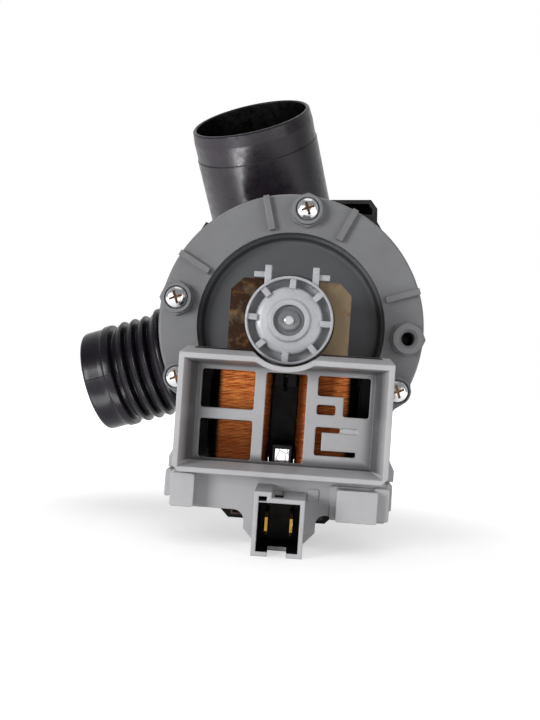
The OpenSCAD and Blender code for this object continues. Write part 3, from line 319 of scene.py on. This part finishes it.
def dish_shadow(tree, mm, base):
    """The dish of the cover is painted darker than the flange round it, as shade under the motor,
    with a still darker ring of painted shadow where its floor meets its wall, and a paler band of
    painted light up the wall's edge: colours by radius in mm."""
    # painted shade and light by radius: dark floor and ring as shade, a pale wall against its
    # shadow
    stops = [(28.0, "#48494c"), (29.7, "#46474a"), (30.1, "#28292b"), (30.8, "#303133"),
             (31.3, "#6c6d70")]
    ramp_from, ramp_to = 28.0, 33.0
    r = from_axis(tree, mm)
    share = add(tree, "ShaderNodeMapRange", {"Value": r, "From Min": ramp_from,
                                             "From Max": ramp_to}).outputs["Result"]
    ramp = add(tree, "ShaderNodeValToRGB", {"Fac": share})
    band = ramp.color_ramp
    while len(band.elements) < len(stops):
        band.elements.new(0.5)
    for element, (radius, colour) in zip(band.elements, stops):
        element.position = (radius - ramp_from) / (ramp_to - ramp_from)
        element.color = linear(colour)
    inside = add(tree, "ShaderNodeMapRange", {"Value": r, "From Min": DISH_R + 0.05,
                                              "From Max": DISH_R + 0.2, "To Min": 1.0,
                                              "To Max": 0.0}).outputs["Result"]
    return add(tree, "ShaderNodeMix", {"Factor": inside, "A": base, "B": ramp.outputs["Color"]},
               data_type="RGBA").outputs["Result"]


def recess_stain(tree, mm, base):
    """Oil has gone brown in the cross recess: what lies near a screw's axis, in the head but
    below the dome's top."""
    near = from_axis(tree, mm, *SCREWS[0])
    for screw in SCREWS[1:]:
        near = add(tree, "ShaderNodeMath", {0: near, 1: from_axis(tree, mm, *screw)},
                   operation="MINIMUM").outputs[0]
    inside = add(tree, "ShaderNodeMath", {0: near, 1: RECESS_R}, operation="LESS_THAN").outputs[0]
    y = add(tree, "ShaderNodeSeparateXYZ", {0: mm}).outputs["Y"]
    low = add(tree, "ShaderNodeMath", {0: y, 1: -(RECESS_FROM + RECESS_TO) / 2,
                                       2: (RECESS_TO - RECESS_FROM) / 2},
              operation="COMPARE").outputs[0]
    both = add(tree, "ShaderNodeMath", {0: inside, 1: low}, operation="MULTIPLY").outputs[0]
    return add(tree, "ShaderNodeMix", {"Factor": both, "A": base, "B": linear("#7d5f49")},
               data_type="RGBA").outputs["Result"]


def annulus_painted_shade(tree, mm, base):
    """The milky ring of pockets round the disc: its floor lies deep, over the dark bobbins, and is
    painted darker than the ribs and the disc, as shade. The painted shade is whole 2.6 mm behind
    the disc's face."""
    y = add(tree, "ShaderNodeSeparateXYZ", {0: mm}).outputs["Y"]
    sunk = add(tree, "ShaderNodeMapRange", {"Value": y, "From Min": DISC_Y + 1.2,
                                            "From Max": DISC_Y + 2.6}).outputs["Result"]
    # painted shade: the deep floor of the pockets darkened
    return add(tree, "ShaderNodeMix", {"Factor": sunk, "A": base, "B": linear("#9fa0a4")},
               data_type="RGBA").outputs["Result"]


def rusted(tree, mm, x, blotch):
    """A dull oxide skin, gone brown with rust where the blotches are, and more so from 9 mm right
    of the rotor axis to 9 mm left of it. Golden temper colours lie over it in patches of 5 mm."""
    side = add(tree, "ShaderNodeMapRange", {"Value": x, "From Min": AXIS_X * 1000 + 9,
                                            "From Max": AXIS_X * 1000 - 9, "To Min": -0.1,
                                            "To Max": 0.24}).outputs["Result"]
    rust = add(tree, "ShaderNodeMath", {0: blotch, 1: side}, operation="ADD").outputs[0]
    share = add(tree, "ShaderNodeMapRange", {"Value": rust, "From Min": 0.46,
                                             "From Max": 0.72}).outputs["Result"]
    skin = add(tree, "ShaderNodeMix", {"Factor": share, "A": linear("#7d6d57"),
                                       "B": linear("#2f1b0d")}, data_type="RGBA")
    temper = add(tree, "ShaderNodeTexNoise", {"Vector": mm, "Scale": 0.22, "Detail": 5.0,
                                              "Roughness": 0.7}).outputs["Fac"]
    gold = add(tree, "ShaderNodeMapRange", {"Value": temper, "From Min": 0.56, "From Max": 0.74,
                                            "To Min": 0.0, "To Max": 0.5}).outputs["Result"]
    return add(tree, "ShaderNodeMix", {"Factor": gold, "A": skin.outputs["Result"],
                                       "B": linear("#9c6c38")},
               data_type="RGBA").outputs["Result"]


def cut_sheets(tree, mm):
    """Lines of the 0.5 mm sheets, on faces that run along the rotor axis: a wave along it, whose
    period is 0.314 over its scale, times how little the face looks along it."""
    sheets = add(tree, "ShaderNodeTexWave", {"Vector": mm, "Scale": 0.314 / 0.5,
                                             "Distortion": 0.4, "Detail": 1.0},
                 bands_direction="Y").outputs["Fac"]
    normal = add(tree, "ShaderNodeNewGeometry").outputs["Normal"]
    facing = add(tree, "ShaderNodeSeparateXYZ", {0: normal}).outputs["Y"]
    flat = add(tree, "ShaderNodeMath", {0: facing}, operation="ABSOLUTE").outputs[0]
    edge = add(tree, "ShaderNodeMapRange", {"Value": flat, "From Min": 0.6,
                                            "From Max": 0.2}).outputs["Result"]
    return add(tree, "ShaderNodeMath", {0: edge, 1: sheets}, operation="MULTIPLY").outputs[0]


def laminated_steel():
    """Punched electrical steel: a dull oxide skin, brown in blotches of 6 mm where it has begun to
    rust, and on its cut edges the sheets of the stack as bright and dark lines across the rotor
    axis. Its foot is painted black as shade, from 51 to 53 mm below the axis."""
    material, tree, mm = start("punched_electrical_steel")
    place = add(tree, "ShaderNodeSeparateXYZ", {0: mm})
    blotch = add(tree, "ShaderNodeTexNoise", {"Vector": mm, "Scale": 0.16, "Detail": 7.0,
                                              "Roughness": 0.62}).outputs["Fac"]
    lines = cut_sheets(tree, mm)
    base = add(tree, "ShaderNodeMix", {"Factor": lines,
                                       "A": rusted(tree, mm, place.outputs["X"], blotch),
                                       "B": linear("#2c231a")}, data_type="RGBA")
    # painted shade: the foot of the stack painted black
    foot_shade = add(tree, "ShaderNodeMapRange", {"Value": place.outputs["Z"],
                                              "From Min": AXIS_Z * 1000 - 51,
                                              "From Max": AXIS_Z * 1000 - 53}).outputs["Result"]
    base = add(tree, "ShaderNodeMix", {"Factor": foot_shade, "A": base.outputs["Result"],
                                       "B": linear("#0c0b0b")}, data_type="RGBA")
    grit = add(tree, "ShaderNodeTexNoise", {"Vector": mm, "Scale": 3.0, "Detail": 4.0})
    height = add(tree, "ShaderNodeMath", {0: lines, 1: -3.0, 2: grit.outputs["Fac"]},
                 operation="MULTIPLY_ADD")
    bump = add(tree, "ShaderNodeBump", {"Height": height.outputs[0], "Strength": 0.5,
                                        "Distance": 0.00003})
    gloss = add(tree, "ShaderNodeMapRange", {"Value": blotch, "From Min": 0.3, "From Max": 0.7,
                                             "To Min": 0.34, "To Max": 0.55})
    shader = add(tree, "ShaderNodeBsdfPrincipled",
                 {"Base Color": base.outputs["Result"], "Metallic": 0.75,
                  "Roughness": gloss.outputs["Result"], "Normal": bump.outputs["Normal"]})
    close(tree, shader)
    return material


def copper_painted_shade(tree, x, z):
    """How much painted shade darkens the copper: on both coils towards their foot, 20 to 38 mm
    below the axis, and on the right one also towards the middle. x is the distance right of the
    axis."""
    low = add(tree, "ShaderNodeMapRange", {"Value": z, "From Min": AXIS_Z * 1000 - 20,
                                           "From Max": AXIS_Z * 1000 - 38, "To Min": 0.0,
                                           "To Max": 0.72}).outputs["Result"]
    right = add(tree, "ShaderNodeMapRange", {"Value": x, "From Min": 16.6, "From Max": 14.4,
                                             "To Min": 0.1, "To Max": 0.72}).outputs["Result"]
    on_right = add(tree, "ShaderNodeMath", {0: x, 1: 0.0}, operation="GREATER_THAN").outputs[0]
    shade = add(tree, "ShaderNodeMath", {0: right, 1: on_right}, operation="MULTIPLY").outputs[0]
    return add(tree, "ShaderNodeMath", {0: shade, 1: low}, operation="MAXIMUM").outputs[0]


def enamelled_copper():
    """Enamelled copper wire: orange metal under a clear amber varnish, painted black as shade over
    the round corners of each coil. The streaks run with the wire, so they are about 4 mm long
    across and
    0.5 mm high."""
    material, tree, mm = start("enamelled_copper_wire")
    along = add(tree, "ShaderNodeMapping", {"Vector": mm, "Scale": (0.12, 0.12, 1.0)})
    streaks = add(tree, "ShaderNodeTexNoise", {"Vector": along.outputs["Vector"], "Scale": 2.2,
                                               "Detail": 6.0, "Roughness": 0.75}).outputs["Fac"]
    share = add(tree, "ShaderNodeMapRange", {"Value": streaks, "From Min": 0.36,
                                             "From Max": 0.64})
    skin = add(tree, "ShaderNodeMix", {"Factor": share.outputs["Result"], "A": linear("#aa4a1a"),
                                       "B": linear("#ffae62")}, data_type="RGBA")
    place = add(tree, "ShaderNodeSeparateXYZ", {0: mm})
    x = add(tree, "ShaderNodeMath", {0: place.outputs["X"], 1: AXIS_X * 1000},
            operation="SUBTRACT").outputs[0]
    # painted shade: the copper darker towards the coils' foot and the right coil's middle
    shaded_copper = add(tree, "ShaderNodeMix", {"Factor": copper_painted_shade(tree, x, place.outputs["Z"]),
                                        "A": skin.outputs["Result"], "B": linear("#5e1d0b")},
                data_type="RGBA")
    # The corners, painted black as shade, by their distance from the middle between the coils
    off = add(tree, "ShaderNodeMath", {0: x}, operation="ABSOLUTE").outputs[0]
    outer, inner = [add(tree, "ShaderNodeMapRange", {"Value": off, "From Min": clear,
                                                     "From Max": black},
                        interpolation_type="SMOOTHSTEP").outputs["Result"]
                    for clear, black in [(18.3, 20.1), (4.4, 3.2)]]
    corner_shade = add(tree, "ShaderNodeMath", {0: outer, 1: inner}, operation="MAXIMUM").outputs[0]
    base = add(tree, "ShaderNodeMix", {"Factor": corner_shade, "A": shaded_copper.outputs["Result"],
                                       "B": linear("#070404")}, data_type="RGBA")
    gloss = add(tree, "ShaderNodeMapRange", {"Value": streaks, "From Min": 0.3, "From Max": 0.7,
                                             "To Min": 0.5, "To Max": 0.3})
    shader = add(tree, "ShaderNodeBsdfPrincipled",
                 {"Base Color": base.outputs["Result"], "Metallic": 0.8,
                  "Roughness": gloss.outputs["Result"], "Specular IOR Level": 0.2})
    close(tree, shader)
    return material


def clear_polymer():
    """Clear moulded cap over the end of the rotor chamber: a glossy, smoky lens with a painted
    highlight that makes it paler within 1.6 mm of the rotor axis, with a haze in its gloss every
    1.4 mm."""
    material, tree, mm = start("clear_polycarbonate")
    haze = add(tree, "ShaderNodeTexNoise", {"Vector": mm, "Scale": 0.7, "Detail": 3.0})
    gloss = add(tree, "ShaderNodeMapRange", {"Value": haze.outputs["Fac"], "From Min": 0.3,
                                             "From Max": 0.7, "To Min": 0.08, "To Max": 0.16})
    # painted highlight: paler near the rotor axis
    outwards = add(tree, "ShaderNodeMapRange", {"Value": from_axis(tree, mm), "From Min": 1.0,
                                                "From Max": 1.6})
    base = add(tree, "ShaderNodeMix", {"Factor": outwards.outputs["Result"],
                                       "A": linear("#c2c2c5"), "B": linear("#6c6d70")},
               data_type="RGBA")
    shader = add(tree, "ShaderNodeBsdfPrincipled",
                 {"Base Color": base.outputs["Result"], "Roughness": gloss.outputs["Result"],
                  "IOR": 1.58, "Coat Weight": 0.6, "Coat Roughness": 0.05})
    close(tree, shader)
    return material


# Moulded in an eroded tool: a satin, slightly cloudy black
black_pp = moulded("moulded_black_polypropylene", "#141215", "#1b191c", 0.4, grain=0.5,
                   depth=0.01, patch_mm=12, specular=0.45, gloss_swing=0.13)
# Moulded in a polished tool: glossier, with shallow waves that break up its highlights
elbow_pp = moulded("polished_black_polypropylene", "#1a161b", "#231e25", 0.33, grain=0.8,
                   depth=0.014, patch_mm=6, specular=0.31, gloss_swing=0.12, wave=0.035,
                   tint=bore_painted_shade)
# Glass fibres at the skin make this black dull.
black_nylon = moulded("glass_filled_black_nylon", "#070708", "#0d0d0e", 0.45, grain=0.3,
                      specular=0.2)
# Talc gives a flat, even grey.
grey_pp = moulded("talc_filled_grey_polypropylene", "#757678", "#6d6d6f", 0.42, grain=0.3,
                  depth=0.008, patch_mm=14, tint=dish_shadow)
# A smooth light grey with soft edges, with painted shade inside
grey_nylon = moulded("moulded_grey_nylon", "#b1b0b2", "#a9a8aa", 0.4, grain=0.3, depth=0.008,
                     patch_mm=10, edge=0.6, tint=inner_painted_shade)
# Unfilled and a little cloudy, with a closed, glossier skin
milky_pbt = moulded("moulded_milky_polyester", "#aeafb2", "#a2a3a6", 0.3, grain=0.6,
                    depth=0.006, patch_mm=5, edge=0.6, tint=annulus_painted_shade)
# Without pigment: a waxy, warm white
natural_acetal = moulded("moulded_natural_acetal", "#dedcd2", "#d2d0c4", 0.35, grain=0.5)
# A satin blue grey
impeller_pp = moulded("moulded_blue_grey_polypropylene", "#2c3a48", "#33424f", 0.42)
# Cured in a hot mould: an even black with a low sheen
soft_rubber = moulded("moulded_synthetic_rubber", "#131016", "#19161c", 0.28, grain=0.4,
                      depth=0.004, patch_mm=6, specular=0.22, gloss_swing=0.06, edge=0.2)
# The seals are duller.
seal_rubber = moulded("moulded_nitrile_rubber", "#141415", "#1d1d1e", 0.5, grain=0.3)
# A dull dark brown sleeve
wire_sleeve = moulded("extruded_brown_silicone", "#35110b", "#2a0d09", 0.45)
# Pressed from powder: dull, with a fine grain
ferrite = moulded("sintered_ferrite", "#3a3b3e", "#2f3033", 0.5, grain=0.2)
# Bright and cool, with few stains
bright_zinc = bare_metal("bright_zinc_plate", "#e6e7e9", "#c0beb9", 0.24, stain_share=0.35,
                         tint=recess_stain)
# Ground along the shaft: bright, with long fine lines
ground_steel = bare_metal("ground_stainless_steel", "#cfd1d3", "#b8babc", 0.2,
                          scratch=(1, 0.05, 1))
# Rolled along the blades: yellow, with long fine lines
brass = bare_metal("rolled_brass_strip", "#c49a46", "#8a6a30", 0.28, scratch=(1, 0.06, 1))
# Nearly a mirror, with cracks
nickel = bare_metal("nickel_plated_can", "#efeeec", "#cfcbc6", 0.16, stain_share=0.4,
                    tint=crazed_plate)
# Pressed from powder and soaked in oil: a dull brown
sinter_bronze = bare_metal("sintered_bronze", "#8a6a3c", "#5f4a2a", 0.5)

FINISH = {
    "pump_housing": black_pp, "inlet_elbow": elbow_pp, "cover_seal": seal_rubber,
    "cover_flange": grey_pp, "cover_screws": bright_zinc, "rotor_canister": milky_pbt,
    "canister_seal": seal_rubber, "end_plug": clear_polymer(), "front_bearing": sinter_bronze,
    "bearing_boot": seal_rubber, "rear_bearing": sinter_bronze, "bearing_holder": natural_acetal,
    "shaft_seal": seal_rubber, "stator_core": laminated_steel(), "bobbin_left": black_nylon,
    "bobbin_right": black_nylon, "coil_cover": grey_nylon, "contact_block": black_nylon,
    "blade_left": brass, "blade_right": brass, "thermal_fuse": nickel,
    "fuse_holder": black_nylon, "lead_wires": wire_sleeve, "rotor_shaft": ground_steel,
    "rotor_magnet": ferrite, "magnet_carrier": natural_acetal, "thrust_washer": sinter_bronze,
    "clutch_dog": natural_acetal, "impeller": impeller_pp, "impeller_cap": impeller_pp,
    "clutch_damper": seal_rubber, "retaining_ring": ground_steel,
}
for name, material in FINISH.items():
    mesh = nodes[name].data
    mesh.materials.clear()
    mesh.materials.append(material)


def lattice(rows, columns, close_rows):
    """Quads of a grid of points, numbered row by row. Each row closes on itself, and so do the
    columns where close_rows says so."""
    i = np.arange(rows if close_rows else rows - 1)[:, None]
    j = np.arange(columns)[None, :]
    a, b = i * columns, ((i + 1) % rows) * columns
    k = (j + 1) % columns
    return np.stack([a + j, a + k, b + k, b + j], -1).reshape(-1, 4)


def new_piece(name, points, faces, material, stands_for):
    """A smooth mesh from points in the row frame, on the pump's body, with faces turned outwards,
    which takes the place of one CAD node."""
    mesh = bpy.data.meshes.new(name)
    mesh.from_pydata(points.tolist(), [], [list(f) for f in faces])
    mesh.polygons.foreach_set("use_smooth", np.ones(len(mesh.polygons), bool))
    mesh.materials.append(material)
    mesh.update()
    piece = bpy.data.objects.new(name, mesh)
    bpy.context.scene.collection.objects.link(piece)
    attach(piece, "pump")
    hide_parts(stands_for)


def round_rectangle(share, half_x, half_z, corner):
    """Point at a share of the way round a rectangle with round corners: four quarter circles
    joined by straight runs, walked at an even pace."""
    turn = np.linspace(0, math.pi / 2, 13)
    x, z = [], []
    for quarter, (sx, sz) in enumerate([(1, 1), (-1, 1), (-1, -1), (1, -1)]):
        a = turn + quarter * math.pi / 2
        x.append(sx * (half_x - corner) + corner * np.cos(a))
        z.append(sz * (half_z - corner) + corner * np.sin(a))
    x, z = np.concatenate(x + [x[0][:1]]), np.concatenate(z + [z[0][:1]])
    walked = np.concatenate([[0], np.cumsum(np.hypot(np.diff(x), np.diff(z)))])
    s = (share % 1.0) * walked[-1]
    return np.interp(s, walked, x), np.interp(s, walked, z)


def outer_wire(pitch, a_turn, sides):
    """One unbroken wire wound in a close helix, as rings of points, a_turn of them to each turn:
    it walks round the round rectangle while it drops by one pitch a turn. Its height and its
    distance from the bobbin wander a little."""
    turns = int((COIL_BOTTOM - COIL_TOP - 0.5) / pitch)
    radius = pitch / 2 * 1.06
    t = np.arange(turns * a_turn + 1) / a_turn
    loose = np.interp(t, np.arange(turns + 2), chance.uniform(-0.05, 0.05, turns + 2))
    waver = 0.05 * np.sin(t * 5.1) + 0.03 * np.sin(t * 12.7 + 1)
    grow = -radius - 0.06 + loose
    x, z = round_rectangle(t, COIL_X + grow.mean(), COIL_Z + grow.mean(), COIL_CORNER - radius)
    scale = 1 + (grow - grow.mean()) / COIL_X
    line = np.stack([x * scale, -COIL_TOP - radius - 0.1 - pitch * t + waver, z * scale], 1)
    along = np.gradient(line, axis=0)
    along /= np.linalg.norm(along, axis=1)[:, None]
    out = np.cross(np.array([0, 1, 0]), along)
    out /= np.linalg.norm(out, axis=1)[:, None]
    up = np.cross(along, out)
    a = np.linspace(0, 2 * math.pi, sides, endpoint=False)[None, :, None]
    return line[:, None] + radius * (np.cos(a) * out[:, None] + np.sin(a) * up[:, None])


def inner_sleeve(steps):
    """The layers below, as a plain sleeve just under the outer wire, with an inner wall: four
    round rectangles, down the outside and up the inside."""
    top, bottom = -COIL_TOP - 0.2, -COIL_BOTTOM + 0.2
    outside, inside = (COIL_X - 0.5, COIL_Z - 0.5, 3.5), (6.2, 10.2, 0.7)
    share = np.arange(steps) / steps
    rings = []
    for size, y in [(outside, top), (outside, bottom), (inside, bottom), (inside, top)]:
        x, z = round_rectangle(share, *size)
        rings.append(np.stack([x, np.full_like(x, y), z], 1))
    return np.concatenate(rings)


def winding(name, side, coil):
    """The outer wire and the sleeve on one bobbin, mirrored for the left one. The real wire is
    about 0.2 mm thick. Here a turn takes 0.43 mm, so that the turns show."""
    pitch, a_turn, sides, steps = 0.43, 60, 6, 96
    wire = outer_wire(pitch, a_turn, sides)
    count = len(wire)
    faces = [list(f) for f in lattice(count, sides, False)]
    faces += [list(range(sides))[::-1], [(count - 1) * sides + j for j in range(sides)]]
    faces += [[count * sides + k for k in f] for f in lattice(4, steps, True)]
    points = np.concatenate([wire.reshape(-1, 3), inner_sleeve(steps)])
    points += np.array([ARM_MID, 0, CORE_MID])
    if side < 0:
        points[:, 0] *= -1
        faces = [f[::-1] for f in faces]
    new_piece(name, placed(points), faces, copper, coil)


copper = enamelled_copper()
winding("winding_left", -1, "coil_left")
winding("winding_right", 1, "coil_right")


def at_outlet(points):
    """From the outlet's own frame, with its axis along z from the rotor axis, to motor
    coordinates: leant back about the chamber's wall, and turned to the outlet's clock."""
    p = np.asarray(points, float) - np.array([0, 0, BODY_R])
    lean, clock = math.pi / 2 + OUTLET_TILT, OUTLET_CLOCK
    x = p[:, 0] * math.cos(lean) + p[:, 2] * math.sin(lean) + BODY_R
    z = -p[:, 0] * math.sin(lean) + p[:, 2] * math.cos(lean)
    return np.stack([x * math.cos(clock) - p[:, 1] * math.sin(clock),
                     x * math.sin(clock) + p[:, 1] * math.cos(clock), z - OUTLET_BACK], 1)


def softened(corners):
    """Rounds a closed profile by about 0.1 mm: each corner is doubled a little way along its two
    edges, and of each edge between the doubles the middle half is kept."""
    way, most_of_edge = 0.16, 0.45
    p = np.asarray(corners, float)
    near = []
    for q in (np.roll(p, 1, 0), np.roll(p, -1, 0)):
        length = np.maximum(np.linalg.norm(q - p, axis=1), 1e-6)
        near.append(p + (q - p) * np.minimum(most_of_edge, way / length)[:, None])
    p = np.stack(near, 1).reshape(-1, 2)
    after = np.roll(p, -1, 0)
    return np.stack([p * 0.75 + after * 0.25, p * 0.25 + after * 0.75], 1).reshape(-1, 2)


def bellows_profile():
    """Corners of the wall, as radius and distance: out along the ribs and back along the bore.
    The ribs lean: steep towards the pump, a narrow crest, a crease and a long slope."""
    outer = [(COLLAR_R - 0.8, BELLOWS_FROM), (COLLAR_R, BELLOWS_FROM + 0.8),
             (COLLAR_R, BELLOWS_FROM + 2), (COLLAR_R - 0.8, BELLOWS_FROM + 2.4),
             (RIB_R - 1.2, BELLOWS_FROM + 4.9), (GROOVE_R, BELLOWS_FROM + 5.1)]
    inner = []
    for k in range(RIBS):
        crest = FIRST_RIB + k * RIB_PITCH
        outer += [(GROOVE_R, crest - 0.95), (RIB_R - 0.4, crest - 0.6), (RIB_R, crest - 0.3),
                  (RIB_R, crest + 0.3), (RIB_R - 0.3, crest + 0.5), (RIB_R - 0.35, crest + 0.75),
                  (RIB_R - 1.2, crest + 2.2), (GROOVE_R, crest + 2.4)]
        if crest - RIB_PITCH / 2 >= SPIGOT_END:
            inner += [(GROOVE_R - 1.5, crest - 1), (RIB_R - 2.4, crest - 0.1),
                      (RIB_R - 2.4, crest + 1), (GROOVE_R - 1.5, crest + 2.3)]
    outer += [(GROOVE_R, BAND_FROM - 0.3), (RIB_R - 0.3, BAND_FROM), (RIB_R, BAND_FROM + 0.3),
              (RIB_R, BAND_FROM + 2.8), (CUFF_R, BAND_FROM + 3.2), (CUFF_R, CUFF_END - 1),
              (CUFF_R - 0.3, CUFF_END - 0.3), (CUFF_R - 1, CUFF_END)]
    inner += [(CUFF_BORE_R, BAND_FROM + 1.2), (CUFF_BORE_R, CUFF_END - 0.4),
              (CUFF_BORE_R + 0.4, CUFF_END)]
    return [(SPIGOT_BORE_R, BELLOWS_FROM)] + outer + inner[::-1] + [(SPIGOT_BORE_R, SPIGOT_END)]


def bellows():
    """The closed profile revolved about the outlet's axis. A flash line stands 0.1 mm proud along
    one side of the band and the cuff, where the mould halves met: a bell curve about its angle,
    which has steps of its own."""
    flash_at, flash_high, flash_wide = 3.175, 0.1, 0.16
    p = softened(bellows_profile())
    a = np.concatenate([flash_at + np.linspace(-0.06, 0.06, 13),
                        flash_at + np.linspace(0.1, 2 * math.pi - 0.1, 150)])
    off = np.angle(np.exp(1j * (a - flash_at)))
    flash = flash_high * np.exp(-(off * CUFF_R / flash_wide) ** 2)
    on_band = np.clip((p[:, 1] - BAND_FROM) / 0.4, 0, 1) * (p[:, 0] > CUFF_R - 0.8)
    r = p[:, 0][:, None] + on_band[:, None] * flash[None, :]
    points = np.stack([r * np.cos(a), r * np.sin(a), np.repeat(p[:, 1][:, None], len(a), 1)], -1)
    faces = lattice(len(p), len(a), True)[:, ::-1]
    new_piece("ribbed_bellows", placed(at_outlet(points.reshape(-1, 3))), faces, soft_rubber,
              "outlet_bellows")


bellows()


def soft_box(name, position, target, size, watts, only=None):
    """A studio lamp at a place, aimed at a target, as long and high as size says in metres. It may
    light one piece only."""
    lamp = bpy.data.lights.new(name, "AREA")
    lamp.shape, lamp.energy = "RECTANGLE", watts
    lamp.size, lamp.size_y = size
    o = bpy.data.objects.new(name, lamp)
    o.visible_camera = False
    if only:
        lit = bpy.data.collections.new(name + "_lights")
        lit.objects.link(bpy.data.objects[only])
        o.light_linking.receiver_collection = lit
    turn = (Vector(target) - Vector(position)).to_track_quat("-Z", "Y").to_matrix().to_4x4()
    o.matrix_world = Matrix.Translation(position) @ turn
    bpy.context.scene.collection.objects.link(o)


# In metres: a key lamp from the left, a fill from the right, and one from above and behind
CENTRE = (AXIS_X, -0.01, AXIS_Z - 0.005)
soft_box("key_lamp", (AXIS_X - 0.7, -0.78, 0.1), CENTRE, (0.4, 0.4), 8.4)
soft_box("fill_lamp", (AXIS_X + 0.7, -0.65, 0.08), CENTRE, (0.5, 0.5), 2.6)
soft_box("top_lamp", (AXIS_X, 0.1, 0.9), CENTRE, (0.6, 0.6), 1.2)
# Two cards close by draw the long soft highlights on the inlet tube and along the bellows.
soft_box("tube_card", (AXIS_X - 0.062, -0.046, FLOOR_Z + 0.012),
         (AXIS_X - 0.026, 0.032, AXIS_Z + 0.06), (0.07, 0.035), 0.42, "inlet_elbow")
soft_box("bellows_card", (AXIS_X - 0.067, -0.01, FLOOR_Z + 0.002),
         (AXIS_X - 0.0655, 0.022, AXIS_Z - 0.035), (0.06, 0.032), 0.042, "ribbed_bellows")


def pale_surround():
    """The world: plain soft light, white where the camera or glass sees it. Gloss shows the white
    sweep behind the pump, and a dimmer room in front of it."""
    world = bpy.data.worlds.new("studio")
    bpy.context.scene.world = world
    world.use_nodes = True
    tree = world.node_tree
    tree.nodes.clear()
    path = add(tree, "ShaderNodeLightPath").outputs
    seen = add(tree, "ShaderNodeMath", {0: path["Is Camera Ray"], 1: path["Is Transmission Ray"]},
               operation="MAXIMUM")
    where = add(tree, "ShaderNodeTexCoord").outputs["Generated"]
    ahead = add(tree, "ShaderNodeSeparateXYZ", {0: where}).outputs["Y"]
    sweep = add(tree, "ShaderNodeMapRange", {"Value": ahead, "From Min": -0.1, "From Max": 0.85,
                                             "To Min": 0.25, "To Max": 1.0})
    plain = add(tree, "ShaderNodeMapRange", {"Value": seen.outputs[0], "To Min": 0.42,
                                             "To Max": 1.0})
    strength = add(tree, "ShaderNodeMix", {"Factor": path["Is Glossy Ray"],
                                           "A": plain.outputs["Result"],
                                           "B": sweep.outputs["Result"]})
    light = add(tree, "ShaderNodeBackground", {"Color": (1, 1, 1, 1),
                                               "Strength": strength.outputs["Result"]})
    add(tree, "ShaderNodeOutputWorld", {"Surface": light.outputs[0]})


def white_card():
    """Matt white card. It glows a little to the camera, more with distance in metres from a point
    20 mm before the cover, so that it meets the surround without a line."""
    material = bpy.data.materials.new("matt_white_card")
    material.use_nodes = True
    tree = material.node_tree
    tree.nodes.clear()
    where = add(tree, "ShaderNodeTexCoord").outputs["Object"]
    from_pump = add(tree, "ShaderNodeMapping", {"Vector": where, "Scale": (1, 1, 0),
                                                "Location": (-AXIS_X, 0.02, 0)})
    far = add(tree, "ShaderNodeVectorMath", {0: from_pump.outputs["Vector"]}, operation="LENGTH")
    glow = add(tree, "ShaderNodeMapRange", {"Value": far.outputs["Value"], "From Min": 0.06,
                                            "From Max": 0.2, "To Min": 0.47, "To Max": 1.0},
               interpolation_type="SMOOTHSTEP")
    path = add(tree, "ShaderNodeLightPath").outputs
    seen = path["Is Camera Ray"]
    for other in ("Is Glossy Ray", "Is Transmission Ray"):
        seen = add(tree, "ShaderNodeMath", {0: seen, 1: path[other]},
                   operation="MAXIMUM").outputs[0]
    shown = add(tree, "ShaderNodeMath", {0: glow.outputs["Result"], 1: seen},
                operation="MULTIPLY")
    card = add(tree, "ShaderNodeBsdfDiffuse", {"Color": (0.82, 0.82, 0.83, 1)})
    shine = add(tree, "ShaderNodeEmission", {"Strength": shown.outputs[0]})
    close(tree, add(tree, "ShaderNodeAddShader", {0: card.outputs[0], 1: shine.outputs[0]}))
    return material


def pale_floor():
    """A wide white table under the pump, which keeps its soft shadow."""
    half, z = 4, FLOOR_Z
    mesh = bpy.data.meshes.new("table_top")
    corners = [(-half, -half, z), (half, -half, z), (half, half, z), (-half, half, z)]
    mesh.from_pydata(corners, [], [(0, 1, 2, 3)])
    floor = bpy.data.objects.new("table_top", mesh)
    bpy.context.scene.collection.objects.link(floor)
    mesh.materials.append(white_card())


def studio_camera():
    """The photograph's view: 290 mm before the cover, 16.6 mm below and 5 mm right of the rotor
    axis, and rolled. Lines along the rotor axis meet at a point right of and below the middle of
    the picture: focal length and that point are in pixels."""
    place = Vector((AXIS_X + 0.00504, -0.290, AXIS_Z - 0.01656))
    roll = math.radians(3.8)
    focal, meet_right, meet_below, picture_high = 857.0, 32, 16, 720
    sensor = 36
    axis = Vector((0, 1, 0))
    right = Vector((math.cos(roll), 0, math.sin(roll)))
    up = Vector((-math.sin(roll), 0, math.cos(roll)))
    for _ in range(3):
        ahead = (axis * focal - right * meet_right + up * meet_below).normalized()
        right = (right - ahead * right.dot(ahead)).normalized()
        up = right.cross(ahead).normalized()
    data = bpy.data.cameras.new("studio_camera")
    data.sensor_fit, data.sensor_width, data.sensor_height = "AUTO", sensor, sensor
    data.lens = focal / picture_high * sensor
    data.clip_start, data.clip_end = 0.01, 20
    camera = bpy.data.objects.new("studio_camera", data)
    turn = Matrix((right, up, -ahead)).transposed()
    camera.matrix_world = Matrix.Translation(place) @ turn.to_4x4()
    bpy.context.scene.collection.objects.link(camera)
    bpy.context.scene.camera = camera


pale_surround()
pale_floor()
studio_camera()
bpy.context.scene.view_settings.view_transform = "Standard"
